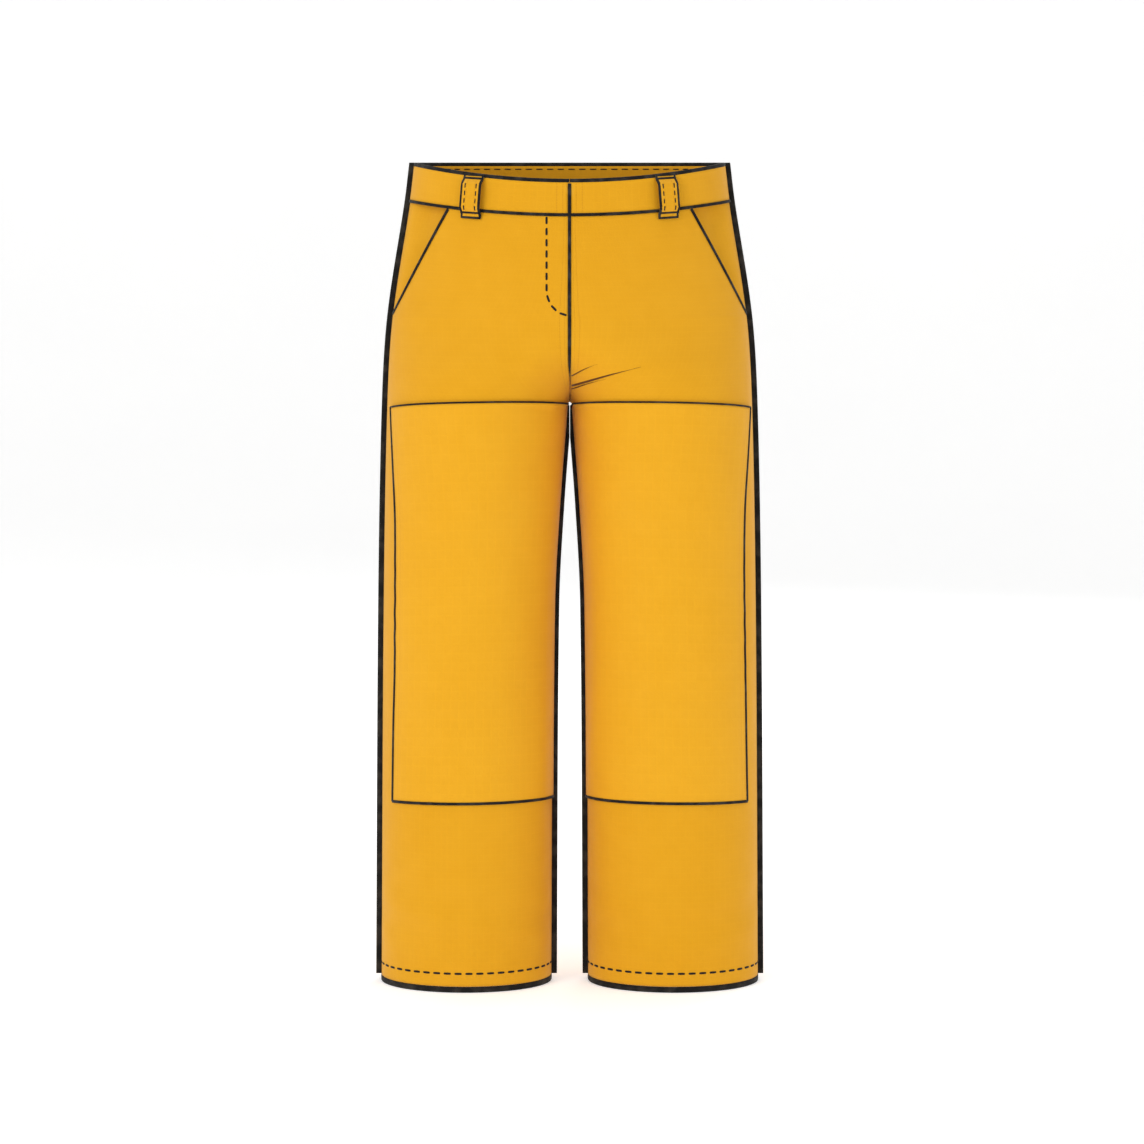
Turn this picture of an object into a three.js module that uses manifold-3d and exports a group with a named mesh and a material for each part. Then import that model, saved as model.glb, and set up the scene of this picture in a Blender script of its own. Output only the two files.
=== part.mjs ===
// Bunker trousers, standing as if worn, with every sewn piece as its own mesh.
// Millimetres, +Z up. The front faces -Y, and the wearer's right side is -X.
//
// Every cloth piece is a thin block bent onto one surface, the outer face of the shell cloth.
// A place on that surface is an angle round one half of the body or one leg (0 at the side
// seam, 90 degrees at the middle of the front or back, 180 at the inseam) and a level, the
// height that it would have at the side seam. Layers sit at offsets from it, outward positive.
import * as THREE from 'three';
import { mergeVertices } from 'three/addons/utils/BufferGeometryUtils.js';
import Module from 'manifold-3d';

const wasm = await Module();
wasm.setup();

// Heights
const INSEAM = 742; // hem to crotch
const RISE = 303; // crotch to the waist edge at the side seams
const HIP_RISE = 112; // crotch to the hip line, where the centre seams run straight
const WAISTBAND = 48; // depth of the waistband at the side seams
const WAIST_EDGE_DIP = 20; // the front waist edge hangs this much lower at its middle
const WAIST_SEAM_DIP = 16; // and the seam under the waistband this much
const HEM_BINDING = 7.5;
const HEM_TURN = 24; // turned-up cloth inside each hem, above the binding
const WAIST_BINDING = 5;
const PATCH_BOTTOM = 239;
const PATCH_SEAM = 3; // patch edge to the crotch or the inseam binding
const KNEE = 484;
const PATCH_BOTTOM_REACH = 0.827; // share of the way round from the inseam to the side seam
const PATCH_KNEE_REACH = 0.815;
const PATCH_THIGH_REACH = 0.825;
const PATCH_TOP_REACH = 0.89;

// Half widths, from the middle of the body to a side seam
const WAIST_HALF = 195;
const WAIST_SEAM_HALF = 201;
const HIP_HALF = 223.5;
const THIGH_HALF = 231;
const KNEE_HALF = 237;
const HEM_HALF = 242;

// Middle of the body to the inner face of a leg
const CROTCH_GAP = 4;
const THIGH_GAP = 14;
const KNEE_GAP = 20.5;
const HEM_GAP = 23.7;

// Depths, from the plane of the side seams to the middle of the front and of the back
const WAIST_FRONT = 107;
const HIP_FRONT = 117;
const THIGH_FRONT = 104;
const KNEE_FRONT = 96;
const HEM_FRONT = 86;
const WAIST_BACK = 104;
const HIP_BACK = 136;
const THIGH_BACK = 112;
const KNEE_BACK = 100;
const HEM_BACK = 90;

// Cloth, trim and the gaps between layers
const CLOTH = 2;
const FACING = 1.2;
const PATCH = 1.5;
const LINER = 1.5;
const GAP = 0.3;
const CURVED_GAP = 0.6; // between layers whose facets don't line up
const BAND_PROUD = 0.6; // waistband proud of the shell cloth
const BINDING_PROUD = 7.2; // side and inner seam bindings
const BINDING_WIDTH = 3;

// Fly, on the wearer's right, which folds back like a lapel
const FLY_FOLD = 45; // flap width at the waist edge, narrowing to nothing at the hip line
const FOLD_PROUD = 2; // the fold's axis lies this far outside the cloth
const FLY_STITCH = 31; // width of the facing that is sewn down behind the front
const FLY_CURVE = 28; // height of the curve at the foot of that facing
const SHIELD_REACH = 42; // underlap behind the flap, from the centre front
const SHIELD_SEAM = 12; // its sewn edge, on the wearer's left
const SHIELD_DEPTH = 7.2; // outer face of the shield behind the flap
const SHIELD_START = 2; // hip line to the foot of the shield
const SHIELD_STEP_START = 1; // the shield sinks behind the flap between these two distances
const SHIELD_STEP_END = 9;
const SHIELD_COLUMNS = 9;
const FACING_START = 6; // hip line to the foot of the sewn-down facing
const FLY_ROWS = 4;
const FLY_COLUMNS = 3;
const TAPE = 1; // hook tape and loop tape
const TAPE_TOP = 15; // below the waist seam
const TAPE_FOOT = 40; // above the hip line
const TAPE_EDGE = 2;
const TAPE_WIDTH = 22;
const TAPE_COLUMNS = 2;
const STUD_RADIUS = 6;
const STUD_POST_RADIUS = 2.2;
const STUD_HEIGHT = 2;
const STUD_PLATE = 1;
const STUD_X = 20; // from the centre front

// Pockets
const MOUTH_TOP = 151; // centre front to the top of the slanted mouth
const POCKET_FALL = 70; // hip line to the foot of the bag
const POCKET_TOP = 30; // waist seam to the top of the bag
const POCKET_INNER = 118; // centre front to the inner edge of the bag
const POCKET_ROOM = 12; // room between the two sides of the bag
const POCKET_SIDE = 8; // degrees from the side seam to the bag
const POCKET_SINK = 25.6; // degrees over which the facing in the mouth sinks to the bag's back
const POCKET_ROW_ROOM = 5; // rows this near the foot or head of a bag are left out
const POCKET_COLUMNS = 6;
const MOUTH_ROOM = 0.01; // radians that the facing in the mouth reaches in behind its edge
const MOUTH_SHORT = 2; // the mouth's binding and the side bindings turn this far below the waist seam
const MOUTH_BINDING_THICKNESS = 1;
const FACING_COLUMNS = 6;
const MOUTH_BINDING = 5;

// Belt loops
const LOOP_WIDTH = 24;
const LOOP_CLOTH = 2;
const BELT_ROOM = 7;
const LOOP_OVERHANG_TOP = 7; // waist edge down to the head of a loop
const LOOP_OVERHANG_FOOT = 7; // waist seam down to the foot of a loop
const LOOP_TACK = 8; // sewn length at each end
const FRONT_LOOP = 119; // from the middle of the body
const BACK_LOOP = 110;

// Liner
const LINER_HEM = 60; // hem to the foot of the liner
const LINER_DEPTH = 4.4; // shell face to liner, close behind the facings
const LINER_LAP = 12; // waist seam to the liner's edge, behind the waist facing
const LINER_ROOM = 3; // room round the pocket bags and the fly shield
const LINER_RAMP = 50; // height over which the liner leaves the shell for them
const LINER_TURN = 0.06; // radians past a bag's edge before the liner starts back
const LINER_SWEEP = 0.26; // radians over which it comes back to the shell
const LINER_ROWS = 11;

const OUTSEAM = INSEAM + RISE;
const HIP_LINE = INSEAM + HIP_RISE;
const WAIST_SEAM = OUTSEAM - WAISTBAND;
const PANEL_FOOT = HEM_BINDING + GAP;
const BAND_TOP = OUTSEAM - WAIST_BINDING - GAP;
const RIGHT = -1;
const LEFT = 1;
const FRONT = -1;
const BACK = 1;
const COLUMNS = 10;
const LEG_ROWS = 11;
const RISE_ROWS = 6;
const HIP_ROWS = 6;
const BAND_ROWS = 2;
const ROUND_SEGMENTS = 20;
const SAME_LEVEL = 0.01; // heights nearer than this are the same
const MERGE_WITHIN = 1e-4; // corners nearer than this are one corner

const CANVAS = new THREE.MeshStandardMaterial({ color: 0xe8a31c, roughness: 0.85, metalness: 0 });
const PATCH_CANVAS = new THREE.MeshStandardMaterial({ color: 0xf1b020, roughness: 0.8, metalness: 0 });
const BINDING = new THREE.MeshStandardMaterial({ color: 0x17140f, roughness: 0.9, metalness: 0 });
const POCKETING = new THREE.MeshStandardMaterial({ color: 0x8c6a2c, roughness: 0.95, metalness: 0 });
const QUILT = new THREE.MeshStandardMaterial({ color: 0x6d6a60, roughness: 1, metalness: 0 });
const HOOK_AND_LOOP = new THREE.MeshStandardMaterial({ color: 0x1c1a18, roughness: 0.95, metalness: 0 });
const STUD_METAL = new THREE.MeshStandardMaterial({ color: 0x8a8a88, roughness: 0.35, metalness: 1 });

// --- the garment's surface -------------------------------------------------------------------

// A smooth curve through [level, value] points, in rising order of level.
function profile(points) {
  const slope = (i) => {
    const a = points[Math.max(i - 1, 0)];
    const b = points[Math.min(i + 1, points.length - 1)];
    return (b[1] - a[1]) / (b[0] - a[0]);
  };
  return (level) => {
    let i = 0;
    while (i < points.length - 2 && level > points[i + 1][0]) i += 1;
    const [start, end] = [points[i], points[i + 1]];
    const span = end[0] - start[0];
    const t = THREE.MathUtils.clamp((level - start[0]) / span, 0, 1);
    const ease = t * t * (3 - 2 * t);
    const bend = t * (1 - t);
    const tangents = span * bend * ((1 - t) * slope(i) - t * slope(i + 1));
    return start[1] + (end[1] - start[1]) * ease + tangents;
  };
}

const MID_THIGH = (KNEE + INSEAM) / 2;
const halfWidth = profile([
  [0, HEM_HALF],
  [KNEE, KNEE_HALF],
  [INSEAM, THIGH_HALF],
  [HIP_LINE, HIP_HALF],
  [WAIST_SEAM, WAIST_SEAM_HALF],
  [OUTSEAM, WAIST_HALF],
]);
const legGap = profile([
  [0, HEM_GAP],
  [KNEE, KNEE_GAP],
  [MID_THIGH, THIGH_GAP],
  [INSEAM, CROTCH_GAP],
]);
const frontDepth = profile([
  [0, HEM_FRONT],
  [KNEE, KNEE_FRONT],
  [MID_THIGH, THIGH_FRONT],
  [HIP_LINE, HIP_FRONT],
  [OUTSEAM, WAIST_FRONT],
]);
const backDepth = profile([
  [0, HEM_BACK],
  [KNEE, KNEE_BACK],
  [MID_THIGH, THIGH_BACK],
  [HIP_LINE, HIP_BACK],
  [OUTSEAM, WAIST_BACK],
]);
// How far a level has climbed from one height to another, held between 0 and 1.
const climbOf = (level, from, to) => THREE.MathUtils.clamp((level - from) / (to - from), 0, 1);
const frontDip = (level) => {
  const seamDip = WAIST_SEAM_DIP * climbOf(level, HIP_LINE, WAIST_SEAM);
  const edgeDip = (WAIST_EDGE_DIP - WAIST_SEAM_DIP) * climbOf(level, WAIST_SEAM, OUTSEAM);
  return seamDip + edgeDip;
};

const inLeg = (level) => level < INSEAM + SAME_LEVEL;

// The section of one leg, or of one half of the body above the crotch, where the two halves
// run into each other more and more up to the hip line.
function section(level) {
  const outer = halfWidth(level);
  if (inLeg(level)) {
    const inner = legGap(level);
    return { centre: (outer + inner) / 2, reach: (outer - inner) / 2 };
  }
  const spread = (1 + Math.cos(Math.PI * climbOf(level, INSEAM, HIP_LINE))) / 2;
  const reach = outer / (1 + spread);
  return { centre: spread * reach, reach };
}

// The angle at which the section reaches a distance from the middle of the body.
function angleAt(distance, level) {
  const { centre, reach } = section(level);
  return Math.acos(THREE.MathUtils.clamp((distance - centre) / reach, -1, 1));
}

// A point on the surface and the level outward normal there, for one half and one face.
function surface(half, face, angle, level) {
  const { centre, reach } = section(level);
  const depth = face === FRONT ? frontDepth(level) : backDepth(level);
  const across = centre + reach * Math.cos(angle);
  const share = across / halfWidth(level);
  const drop = face === FRONT ? frontDip(level) * (1 - share * share) : 0;
  const point = new THREE.Vector3(half * across, face * depth * Math.sin(angle), level - drop);
  const normal = new THREE.Vector3((half * Math.cos(angle)) / reach, (face * Math.sin(angle)) / depth, 0);
  return { point, normal: normal.normalize() };
}

// --- making solids -----------------------------------------------------------------------------

// Turns a closed geometry's triangles to face out, whichever way its block was bent.
function facingOut(geometry) {
  const position = geometry.getAttribute('position');
  const index = geometry.getIndex();
  const [a, b, c] = [new THREE.Vector3(), new THREE.Vector3(), new THREE.Vector3()];
  let volume = 0;
  for (let i = 0; i < index.count; i += 3) {
    a.fromBufferAttribute(position, index.getX(i));
    b.fromBufferAttribute(position, index.getX(i + 1));
    c.fromBufferAttribute(position, index.getX(i + 2));
    volume += a.dot(b.cross(c));
  }
  if (volume < 0) {
    for (let i = 0; i < index.count; i += 3) {
      const second = index.getX(i + 1);
      index.setX(i + 1, index.getX(i + 2));
      index.setX(i + 2, second);
    }
  }
  geometry.computeVertexNormals();
  return geometry;
}

// One closed body from a geometry whose faces keep their own corners.
function closedBody(geometry) {
  geometry.deleteAttribute('normal');
  geometry.deleteAttribute('uv');
  return facingOut(mergeVertices(geometry, MERGE_WITHIN));
}

const evenly = (from, to, count) =>
  Array.from({ length: count + 1 }, (_, i) => from + ((to - from) * i) / count);
const valueOf = (value, ...place) => (typeof value === 'function' ? value(...place) : value);

// A block bent onto the surface. stations(level) gives the angles of its columns, levels the
// heights of its rows, and outside and inside the offsets of its two faces.
function bentBlock({ half, face, stations, levels, outside, inside }) {
  const columns = stations(levels[0]).length - 1;
  const rows = levels.length - 1;
  const geometry = new THREE.BoxGeometry(1, 1, 1, columns, rows, 1);
  const position = geometry.getAttribute('position');
  for (let i = 0; i < position.count; i += 1) {
    const column = Math.round((position.getX(i) + 0.5) * columns);
    const row = Math.round((position.getY(i) + 0.5) * rows);
    const level = levels[row];
    const angle = stations(level)[column];
    const offset = valueOf(position.getZ(i) > 0 ? outside : inside, angle, level);
    const { point, normal } = surface(half, face, angle, level);
    point.addScaledVector(normal, offset);
    position.setXYZ(i, point.x, point.y, point.z);
  }
  return closedBody(geometry);
}

// Columns spread evenly between two edges, each an angle or a function of level.
const between = (inner, outer, columns) => (level) =>
  evenly(valueOf(inner, level), valueOf(outer, level), columns);

// Edges, as angles at a level. Neighbours keep the seam gap between them.
const seamInset = (level) => GAP / 2 / frontDepth(level);
const sideEdge = (level) => seamInset(level);
const innerEdge = (level) => (inLeg(level) ? Math.PI - seamInset(level) : angleAt(GAP / 2, level));
const foldX = (level) => (FLY_FOLD * Math.max(level - HIP_LINE, 0)) / (OUTSEAM - HIP_LINE);
const mouthX = (level) =>
  THREE.MathUtils.lerp(halfWidth(HIP_LINE), MOUTH_TOP, climbOf(level, HIP_LINE, WAIST_SEAM));
const mouthEdge = (level) => {
  if (level <= HIP_LINE) {
    return sideEdge(level);
  }
  return Math.max(angleAt(mouthX(level), level), sideEdge(level));
};

const legLevels = evenly(PANEL_FOOT, INSEAM, LEG_ROWS);
const riseLevels = evenly(INSEAM, HIP_LINE, RISE_ROWS);
// Rows crowd towards the hip line, where the pocket mouth leaves the side seam.
const hipRise = WAIST_SEAM - GAP / 2 - HIP_LINE;
const hipLevels = evenly(0, 1, HIP_ROWS).map((share) => HIP_LINE + hipRise * share * share);
const panelLevels = [...legLevels, ...riseLevels.slice(1), ...hipLevels.slice(1)];
const bandLevels = evenly(WAIST_SEAM + GAP / 2, BAND_TOP, BAND_ROWS);
const edgeLevels = [OUTSEAM - WAIST_BINDING, OUTSEAM];

const trousers = new THREE.Group();
function add(name, geometry, material) {
  const mesh = new THREE.Mesh(geometry, material);
  mesh.name = name;
  trousers.add(mesh);
  return mesh;
}
const HALVES = [[RIGHT, 'right'], [LEFT, 'left']];

// --- shell -------------------------------------------------------------------------------------

const foldEdge = (level) =>
  (level <= HIP_LINE ? innerEdge(level) : angleAt(foldX(level) + GAP / 2, level));
const flapEdge = (level) => angleAt(foldX(level) - GAP / 2, level);
const centreEdge = (level) => angleAt(GAP / 2, level);
// The free edge of a flap layer stays clear of the left front as its inner corner, this deep
// behind the fold's axis, swings out.
const swingEdge = (depth) => (level) => {
  const reach = foldX(level);
  const swing = reach - Math.sqrt(Math.max(reach * reach - depth * depth, 0));
  return angleAt(swing + GAP, level);
};
const shell = { outside: 0, inside: -CLOTH, levels: panelLevels };

for (const [half, side] of HALVES) {
  const inner = half === RIGHT ? foldEdge : innerEdge;
  const front = { half, face: FRONT, stations: between(inner, mouthEdge, COLUMNS), ...shell };
  add(`front_panel_${side}`, bentBlock(front), CANVAS);
  const back = { half, face: BACK, stations: between(innerEdge, sideEdge, COLUMNS), ...shell };
  add(`back_panel_${side}`, bentBlock(back), CANVAS);
}

const FLAP_CORNER = FOLD_PROUD + CLOTH;
const levelAtFold = (x) => HIP_LINE + (x / FLY_FOLD) * (OUTSEAM - HIP_LINE);
const FLAP_FOOT = levelAtFold(FLAP_CORNER + 2 * GAP);
const flapLevels = evenly(FLAP_FOOT, WAIST_SEAM - GAP / 2, FLY_ROWS);
const flapStations = between(swingEdge(FLAP_CORNER), flapEdge, FLY_COLUMNS);
const flap = { half: RIGHT, face: FRONT, stations: flapStations };
add('fly_flap_panel', bentBlock({ ...flap, levels: flapLevels, outside: 0, inside: -CLOTH }), CANVAS);

// --- leg patches, over the front of each leg ----------------------------------------------------

// The outer edge keeps between the same two columns of the panel all the way down.
const patchOuter = profile([
  [PATCH_BOTTOM, PATCH_BOTTOM_REACH],
  [KNEE, PATCH_KNEE_REACH],
  [MID_THIGH, PATCH_THIGH_REACH],
  [INSEAM, PATCH_TOP_REACH],
]);
const patchRows = legLevels.filter((level) => level > PATCH_BOTTOM && level < INSEAM - PATCH_SEAM);
const patchLevels = [PATCH_BOTTOM, ...patchRows, INSEAM - PATCH_SEAM];
const patchStations = (level) => {
  const inner = Math.PI - (BINDING_WIDTH / 2 + PATCH_SEAM) / frontDepth(level);
  const columns = evenly(0, 1, COLUMNS).map((share) => Math.PI * (1 - share));
  return [inner, ...columns.slice(1, COLUMNS - 1), Math.PI * (1 - patchOuter(level))];
};
const patchFaces = { outside: CURVED_GAP + PATCH, inside: CURVED_GAP };
for (const [half, side] of HALVES) {
  const patch = { half, face: FRONT, stations: patchStations, levels: patchLevels, ...patchFaces };
  add(`leg_patch_${side}`, bentBlock(patch), PATCH_CANVAS);
}

// --- waistband, its facing and its bound edge ---------------------------------------------------

const band = { outside: BAND_PROUD, inside: -CLOTH };
const bandFacing = { outside: -CLOTH - CURVED_GAP, inside: -CLOTH - CURVED_GAP - FACING };
const bandEdge = { outside: BAND_PROUD + GAP, inside: -CLOTH - GAP };
const roundBack = between(sideEdge, (level) => Math.PI - sideEdge(level), COLUMNS * 2);
const shieldSeam = (level) => angleAt(SHIELD_SEAM + GAP, level);
const waistParts = [
  ['right', RIGHT, FRONT, between(foldEdge, sideEdge, COLUMNS), between(foldEdge, sideEdge, COLUMNS)],
  ['left', LEFT, FRONT, between(centreEdge, sideEdge, COLUMNS), between(shieldSeam, sideEdge, COLUMNS)],
  ['back', LEFT, BACK, roundBack, roundBack],
];
for (const [side, half, face, stations, facingStations] of waistParts) {
  const place = { half, face, levels: bandLevels };
  add(`waistband_${side}`, bentBlock({ ...place, stations, ...band }), CANVAS);
  add(`waist_facing_${side}`, bentBlock({ ...place, stations: facingStations, ...bandFacing }), CANVAS);
  add(`waist_binding_${side}`, bentBlock({ ...place, levels: edgeLevels, stations, ...bandEdge }), BINDING);
}
add('waistband_tab', bentBlock({ ...flap, levels: bandLevels, ...band }), CANVAS);
add('waist_binding_tab', bentBlock({ ...flap, levels: edgeLevels, ...bandEdge }), BINDING);

// --- fly ----------------------------------------------------------------------------------------

const FACING_FACE = -CLOTH - CURVED_GAP;
const FACING_BACK = FACING_FACE - FACING;
const FACING_CORNER = FOLD_PROUD - FACING_BACK;
const FACING_FOOT = levelAtFold(FACING_CORNER + 3 * GAP);
const flyFacing = { half: RIGHT, face: FRONT, outside: FACING_FACE, inside: FACING_BACK };

add('fly_facing_flap', bentBlock({
  ...flyFacing,
  levels: evenly(FACING_FOOT, BAND_TOP, FLY_ROWS + 1),
  stations: between(
    swingEdge(FACING_CORNER),
    (level) => angleAt(foldX(level) - GAP, level),
    FLY_COLUMNS,
  ),
}), CANVAS);

// The sewn-down part follows the curved foot of the fly, and ends where the fold leaves it.
const stitchX = (level) => {
  const down = 1 - climbOf(level, HIP_LINE, HIP_LINE + FLY_CURVE);
  return FLY_STITCH * Math.sqrt(1 - down * down);
};
const FOLD_LEAVES = levelAtFold(FLY_STITCH - TAPE_EDGE);
add('fly_facing_fixed', bentBlock({
  ...flyFacing,
  levels: evenly(HIP_LINE + FACING_START, Math.min(FOLD_LEAVES, WAIST_SEAM - GAP), FLY_ROWS + 2),
  stations: between(
    (level) => angleAt(foldX(level) + GAP, level),
    (level) => angleAt(stitchX(level), level),
    FLY_COLUMNS,
  ),
}), CANVAS);

// The shield steps from just behind the left front to its place behind the flap. Its angles
// pass 90 degrees to the wearer's right.
const shieldAngle = (x) => (level) => Math.acos(x / halfWidth(level));
const shieldFace = (angle, level) => {
  const x = halfWidth(level) * Math.cos(angle);
  const step = THREE.MathUtils.smoothstep(x, SHIELD_STEP_START, SHIELD_STEP_END);
  return THREE.MathUtils.lerp(-SHIELD_DEPTH, FACING_FACE, step);
};
add('fly_shield', bentBlock({
  half: LEFT,
  face: FRONT,
  levels: evenly(HIP_LINE + SHIELD_START, BAND_TOP, FLY_ROWS + 2),
  stations: between(shieldAngle(SHIELD_SEAM), shieldAngle(-SHIELD_REACH), SHIELD_COLUMNS),
  outside: shieldFace,
  inside: (angle, level) => shieldFace(angle, level) - LINER,
}), CANVAS);

const tapeWidth = (level) => Math.min(TAPE_WIDTH, foldX(level) - 2 * TAPE_EDGE);
const tape = {
  half: RIGHT,
  face: FRONT,
  levels: evenly(HIP_LINE + TAPE_FOOT, WAIST_SEAM - TAPE_TOP, FLY_ROWS),
  stations: between(
    (level) => angleAt(TAPE_EDGE, level),
    (level) => angleAt(TAPE_EDGE + tapeWidth(level), level),
    TAPE_COLUMNS,
  ),
};
const HOOK_FACE = FACING_BACK - GAP;
const LOOP_BACK = -SHIELD_DEPTH + GAP;
add('hook_tape', bentBlock({ ...tape, outside: HOOK_FACE, inside: HOOK_FACE - TAPE }), HOOK_AND_LOOP);
add('loop_tape', bentBlock({ ...tape, outside: LOOP_BACK + TAPE, inside: LOOP_BACK }), HOOK_AND_LOOP);

// A hidden press stud holds the waistband: a socket ring under the tab, with its cap between
// the cloth layers, and a stud through the shield, with its post behind.
const studLevel = (WAIST_SEAM + OUTSEAM) / 2;
function studPart(name, profilePoints) {
  const outline = profilePoints.map(([radius, height]) => new THREE.Vector2(radius, height));
  const geometry = new THREE.LatheGeometry(outline, ROUND_SEGMENTS);
  const place = surface(RIGHT, FRONT, angleAt(STUD_X, studLevel), studLevel);
  const turn = new THREE.Quaternion().setFromUnitVectors(new THREE.Vector3(0, 1, 0), place.normal);
  const mesh = add(name, closedBody(geometry), STUD_METAL);
  mesh.quaternion.copy(turn);
  mesh.position.copy(place.point);
}
const SOCKET_FACE = FACING_BACK - CURVED_GAP;
const SOCKET_BACK = SOCKET_FACE - TAPE;
const SOCKET_BORE = STUD_POST_RADIUS + 2 * GAP;
studPart('snap_socket', [
  [SOCKET_BORE, SOCKET_BACK],
  [STUD_RADIUS, SOCKET_BACK],
  [STUD_RADIUS, SOCKET_FACE],
  [SOCKET_BORE, SOCKET_FACE],
  [SOCKET_BORE, SOCKET_BACK],
]);
const STUD_BASE = -SHIELD_DEPTH + CURVED_GAP;
studPart('snap_stud', [
  [0, STUD_BASE],
  [STUD_RADIUS, STUD_BASE],
  [STUD_RADIUS, STUD_BASE + STUD_HEIGHT / 2 - GAP],
  [STUD_POST_RADIUS, STUD_BASE + STUD_HEIGHT / 2 - GAP],
  [STUD_POST_RADIUS, STUD_BASE + STUD_HEIGHT],
  [0, STUD_BASE + STUD_HEIGHT],
]);
const POST_FACE = -SHIELD_DEPTH - LINER - CURVED_GAP;
studPart('snap_stud_post', [
  [0, POST_FACE - STUD_PLATE],
  [STUD_RADIUS, POST_FACE - STUD_PLATE],
  [STUD_RADIUS, POST_FACE],
  [0, POST_FACE],
]);

// --- pockets ------------------------------------------------------------------------------------

// The facing seen in the mouth sinks from the side seam to the back of the pocket.
const BAG_FACE = -CLOTH - 3 * CURVED_GAP;
const BAG_BACK = BAG_FACE - POCKET_ROOM - 2 * FACING;
const sideAngle = THREE.MathUtils.degToRad(POCKET_SIDE);
const sinkAngle = THREE.MathUtils.degToRad(POCKET_SINK);
const hipFace = (angle) => {
  const sunk = THREE.MathUtils.smoothstep(angle, 0, sinkAngle);
  return THREE.MathUtils.lerp(-CLOTH - CURVED_GAP, BAG_BACK + FACING, sunk);
};
const bagInner = (level) => angleAt(POCKET_INNER, level);
const bagOuter = (level) => Math.max(sideAngle, mouthEdge(level));
const POCKET_FOOT = HIP_LINE - POCKET_FALL;
const POCKET_HEAD = WAIST_SEAM - POCKET_TOP;
const bagRows = [...riseLevels, ...hipLevels.slice(1)].filter(
  (level) => level > POCKET_FOOT + POCKET_ROW_ROOM && level < POCKET_HEAD - POCKET_ROW_ROOM,
);
const bagLevels = [POCKET_FOOT, ...bagRows];

function solidOf(geometry) {
  const vertProperties = new Float32Array(geometry.getAttribute('position').array);
  const triVerts = new Uint32Array(geometry.getIndex().array);
  return new wasm.Manifold(new wasm.Mesh({ numProp: 3, vertProperties, triVerts }));
}
function geometryOf(solid) {
  const mesh = solid.getMesh();
  const geometry = new THREE.BufferGeometry();
  geometry.setAttribute('position', new THREE.BufferAttribute(mesh.vertProperties, 3));
  geometry.setIndex(new THREE.BufferAttribute(mesh.triVerts, 1));
  geometry.computeVertexNormals();
  return geometry;
}

// Below the hip line the bag's hollow stops at its outer wall, and above it runs out into the
// mouth.
const wallAngle = (level) => FACING / halfWidth(level);
const hollowOuter = (level) =>
  (level < HIP_LINE - SAME_LEVEL ? bagOuter(level) + 2 * wallAngle(level) : bagOuter(level) - sideAngle);

for (const [half, side] of HALVES) {
  const place = { half, face: FRONT };
  const outer = bentBlock({
    ...place,
    levels: [...bagLevels, POCKET_HEAD],
    stations: between(bagInner, bagOuter, POCKET_COLUMNS),
    outside: BAG_FACE,
    inside: BAG_BACK,
  });
  const cavity = bentBlock({
    ...place,
    levels: [POCKET_FOOT + FACING, ...bagLevels.slice(1), POCKET_HEAD - FACING],
    stations: between(
      (level) => bagInner(level) - wallAngle(level),
      hollowOuter,
      POCKET_COLUMNS,
    ),
    outside: BAG_FACE - FACING,
    inside: BAG_BACK + FACING,
  });
  const bag = solidOf(outer).subtract(solidOf(cavity));
  add(`pocket_bag_${side}`, geometryOf(bag), POCKETING);

  add(`hip_facing_${side}`, bentBlock({
    ...place,
    levels: hipLevels,
    stations: between((level) => mouthEdge(level) - MOUTH_ROOM, sideEdge, FACING_COLUMNS),
    outside: hipFace,
    inside: (angle) => hipFace(angle) - FACING,
  }), CANVAS);

  add(`pocket_binding_${side}`, bentBlock({
    ...place,
    levels: [...hipLevels.slice(1, -1), WAIST_SEAM - MOUTH_SHORT],
    stations: between(
      (level) => mouthEdge(level) + MOUTH_BINDING / halfWidth(level),
      (level) => mouthEdge(level) + GAP / halfWidth(level),
      TAPE_COLUMNS,
    ),
    outside: CURVED_GAP + MOUTH_BINDING_THICKNESS,
    inside: CURVED_GAP,
  }), BINDING);
}

// --- bound seams and hems -----------------------------------------------------------------------

// A rib that stands off a seam, along a list of levels. reachOf gives its two edges in x.
function seamRib(half, levels, reachOf) {
  const geometry = new THREE.BoxGeometry(1, BINDING_WIDTH, 1, 1, 1, levels.length - 1);
  const position = geometry.getAttribute('position');
  for (let i = 0; i < position.count; i += 1) {
    const level = levels[Math.round((position.getZ(i) + 0.5) * (levels.length - 1))];
    const [near, far] = reachOf(level);
    position.setX(i, half * (position.getX(i) > 0 ? far : near));
    position.setZ(i, level);
  }
  return closedBody(geometry);
}
const sideReach = (level) => {
  const besideBand = level > WAIST_SEAM - SAME_LEVEL;
  const near = halfWidth(level) + GAP + (besideBand ? BAND_PROUD + GAP : 0);
  return [near, halfWidth(level) + BINDING_PROUD];
};
const sideLevels = [...panelLevels.slice(0, -1), WAIST_SEAM - MOUTH_SHORT, WAIST_SEAM, OUTSEAM];
const innerReach = (level) => {
  const near = legGap(level) - CURVED_GAP;
  return [near, Math.max(near - BINDING_PROUD, GAP)];
};
const innerLevels = legLevels.slice(0, -1).concat(INSEAM - PATCH_SEAM);
for (const [half, side] of HALVES) {
  add(`side_seam_${side}`, seamRib(half, sideLevels, sideReach), BINDING);
  add(`inseam_${side}`, seamRib(half, innerLevels, innerReach), BINDING);
}

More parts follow.
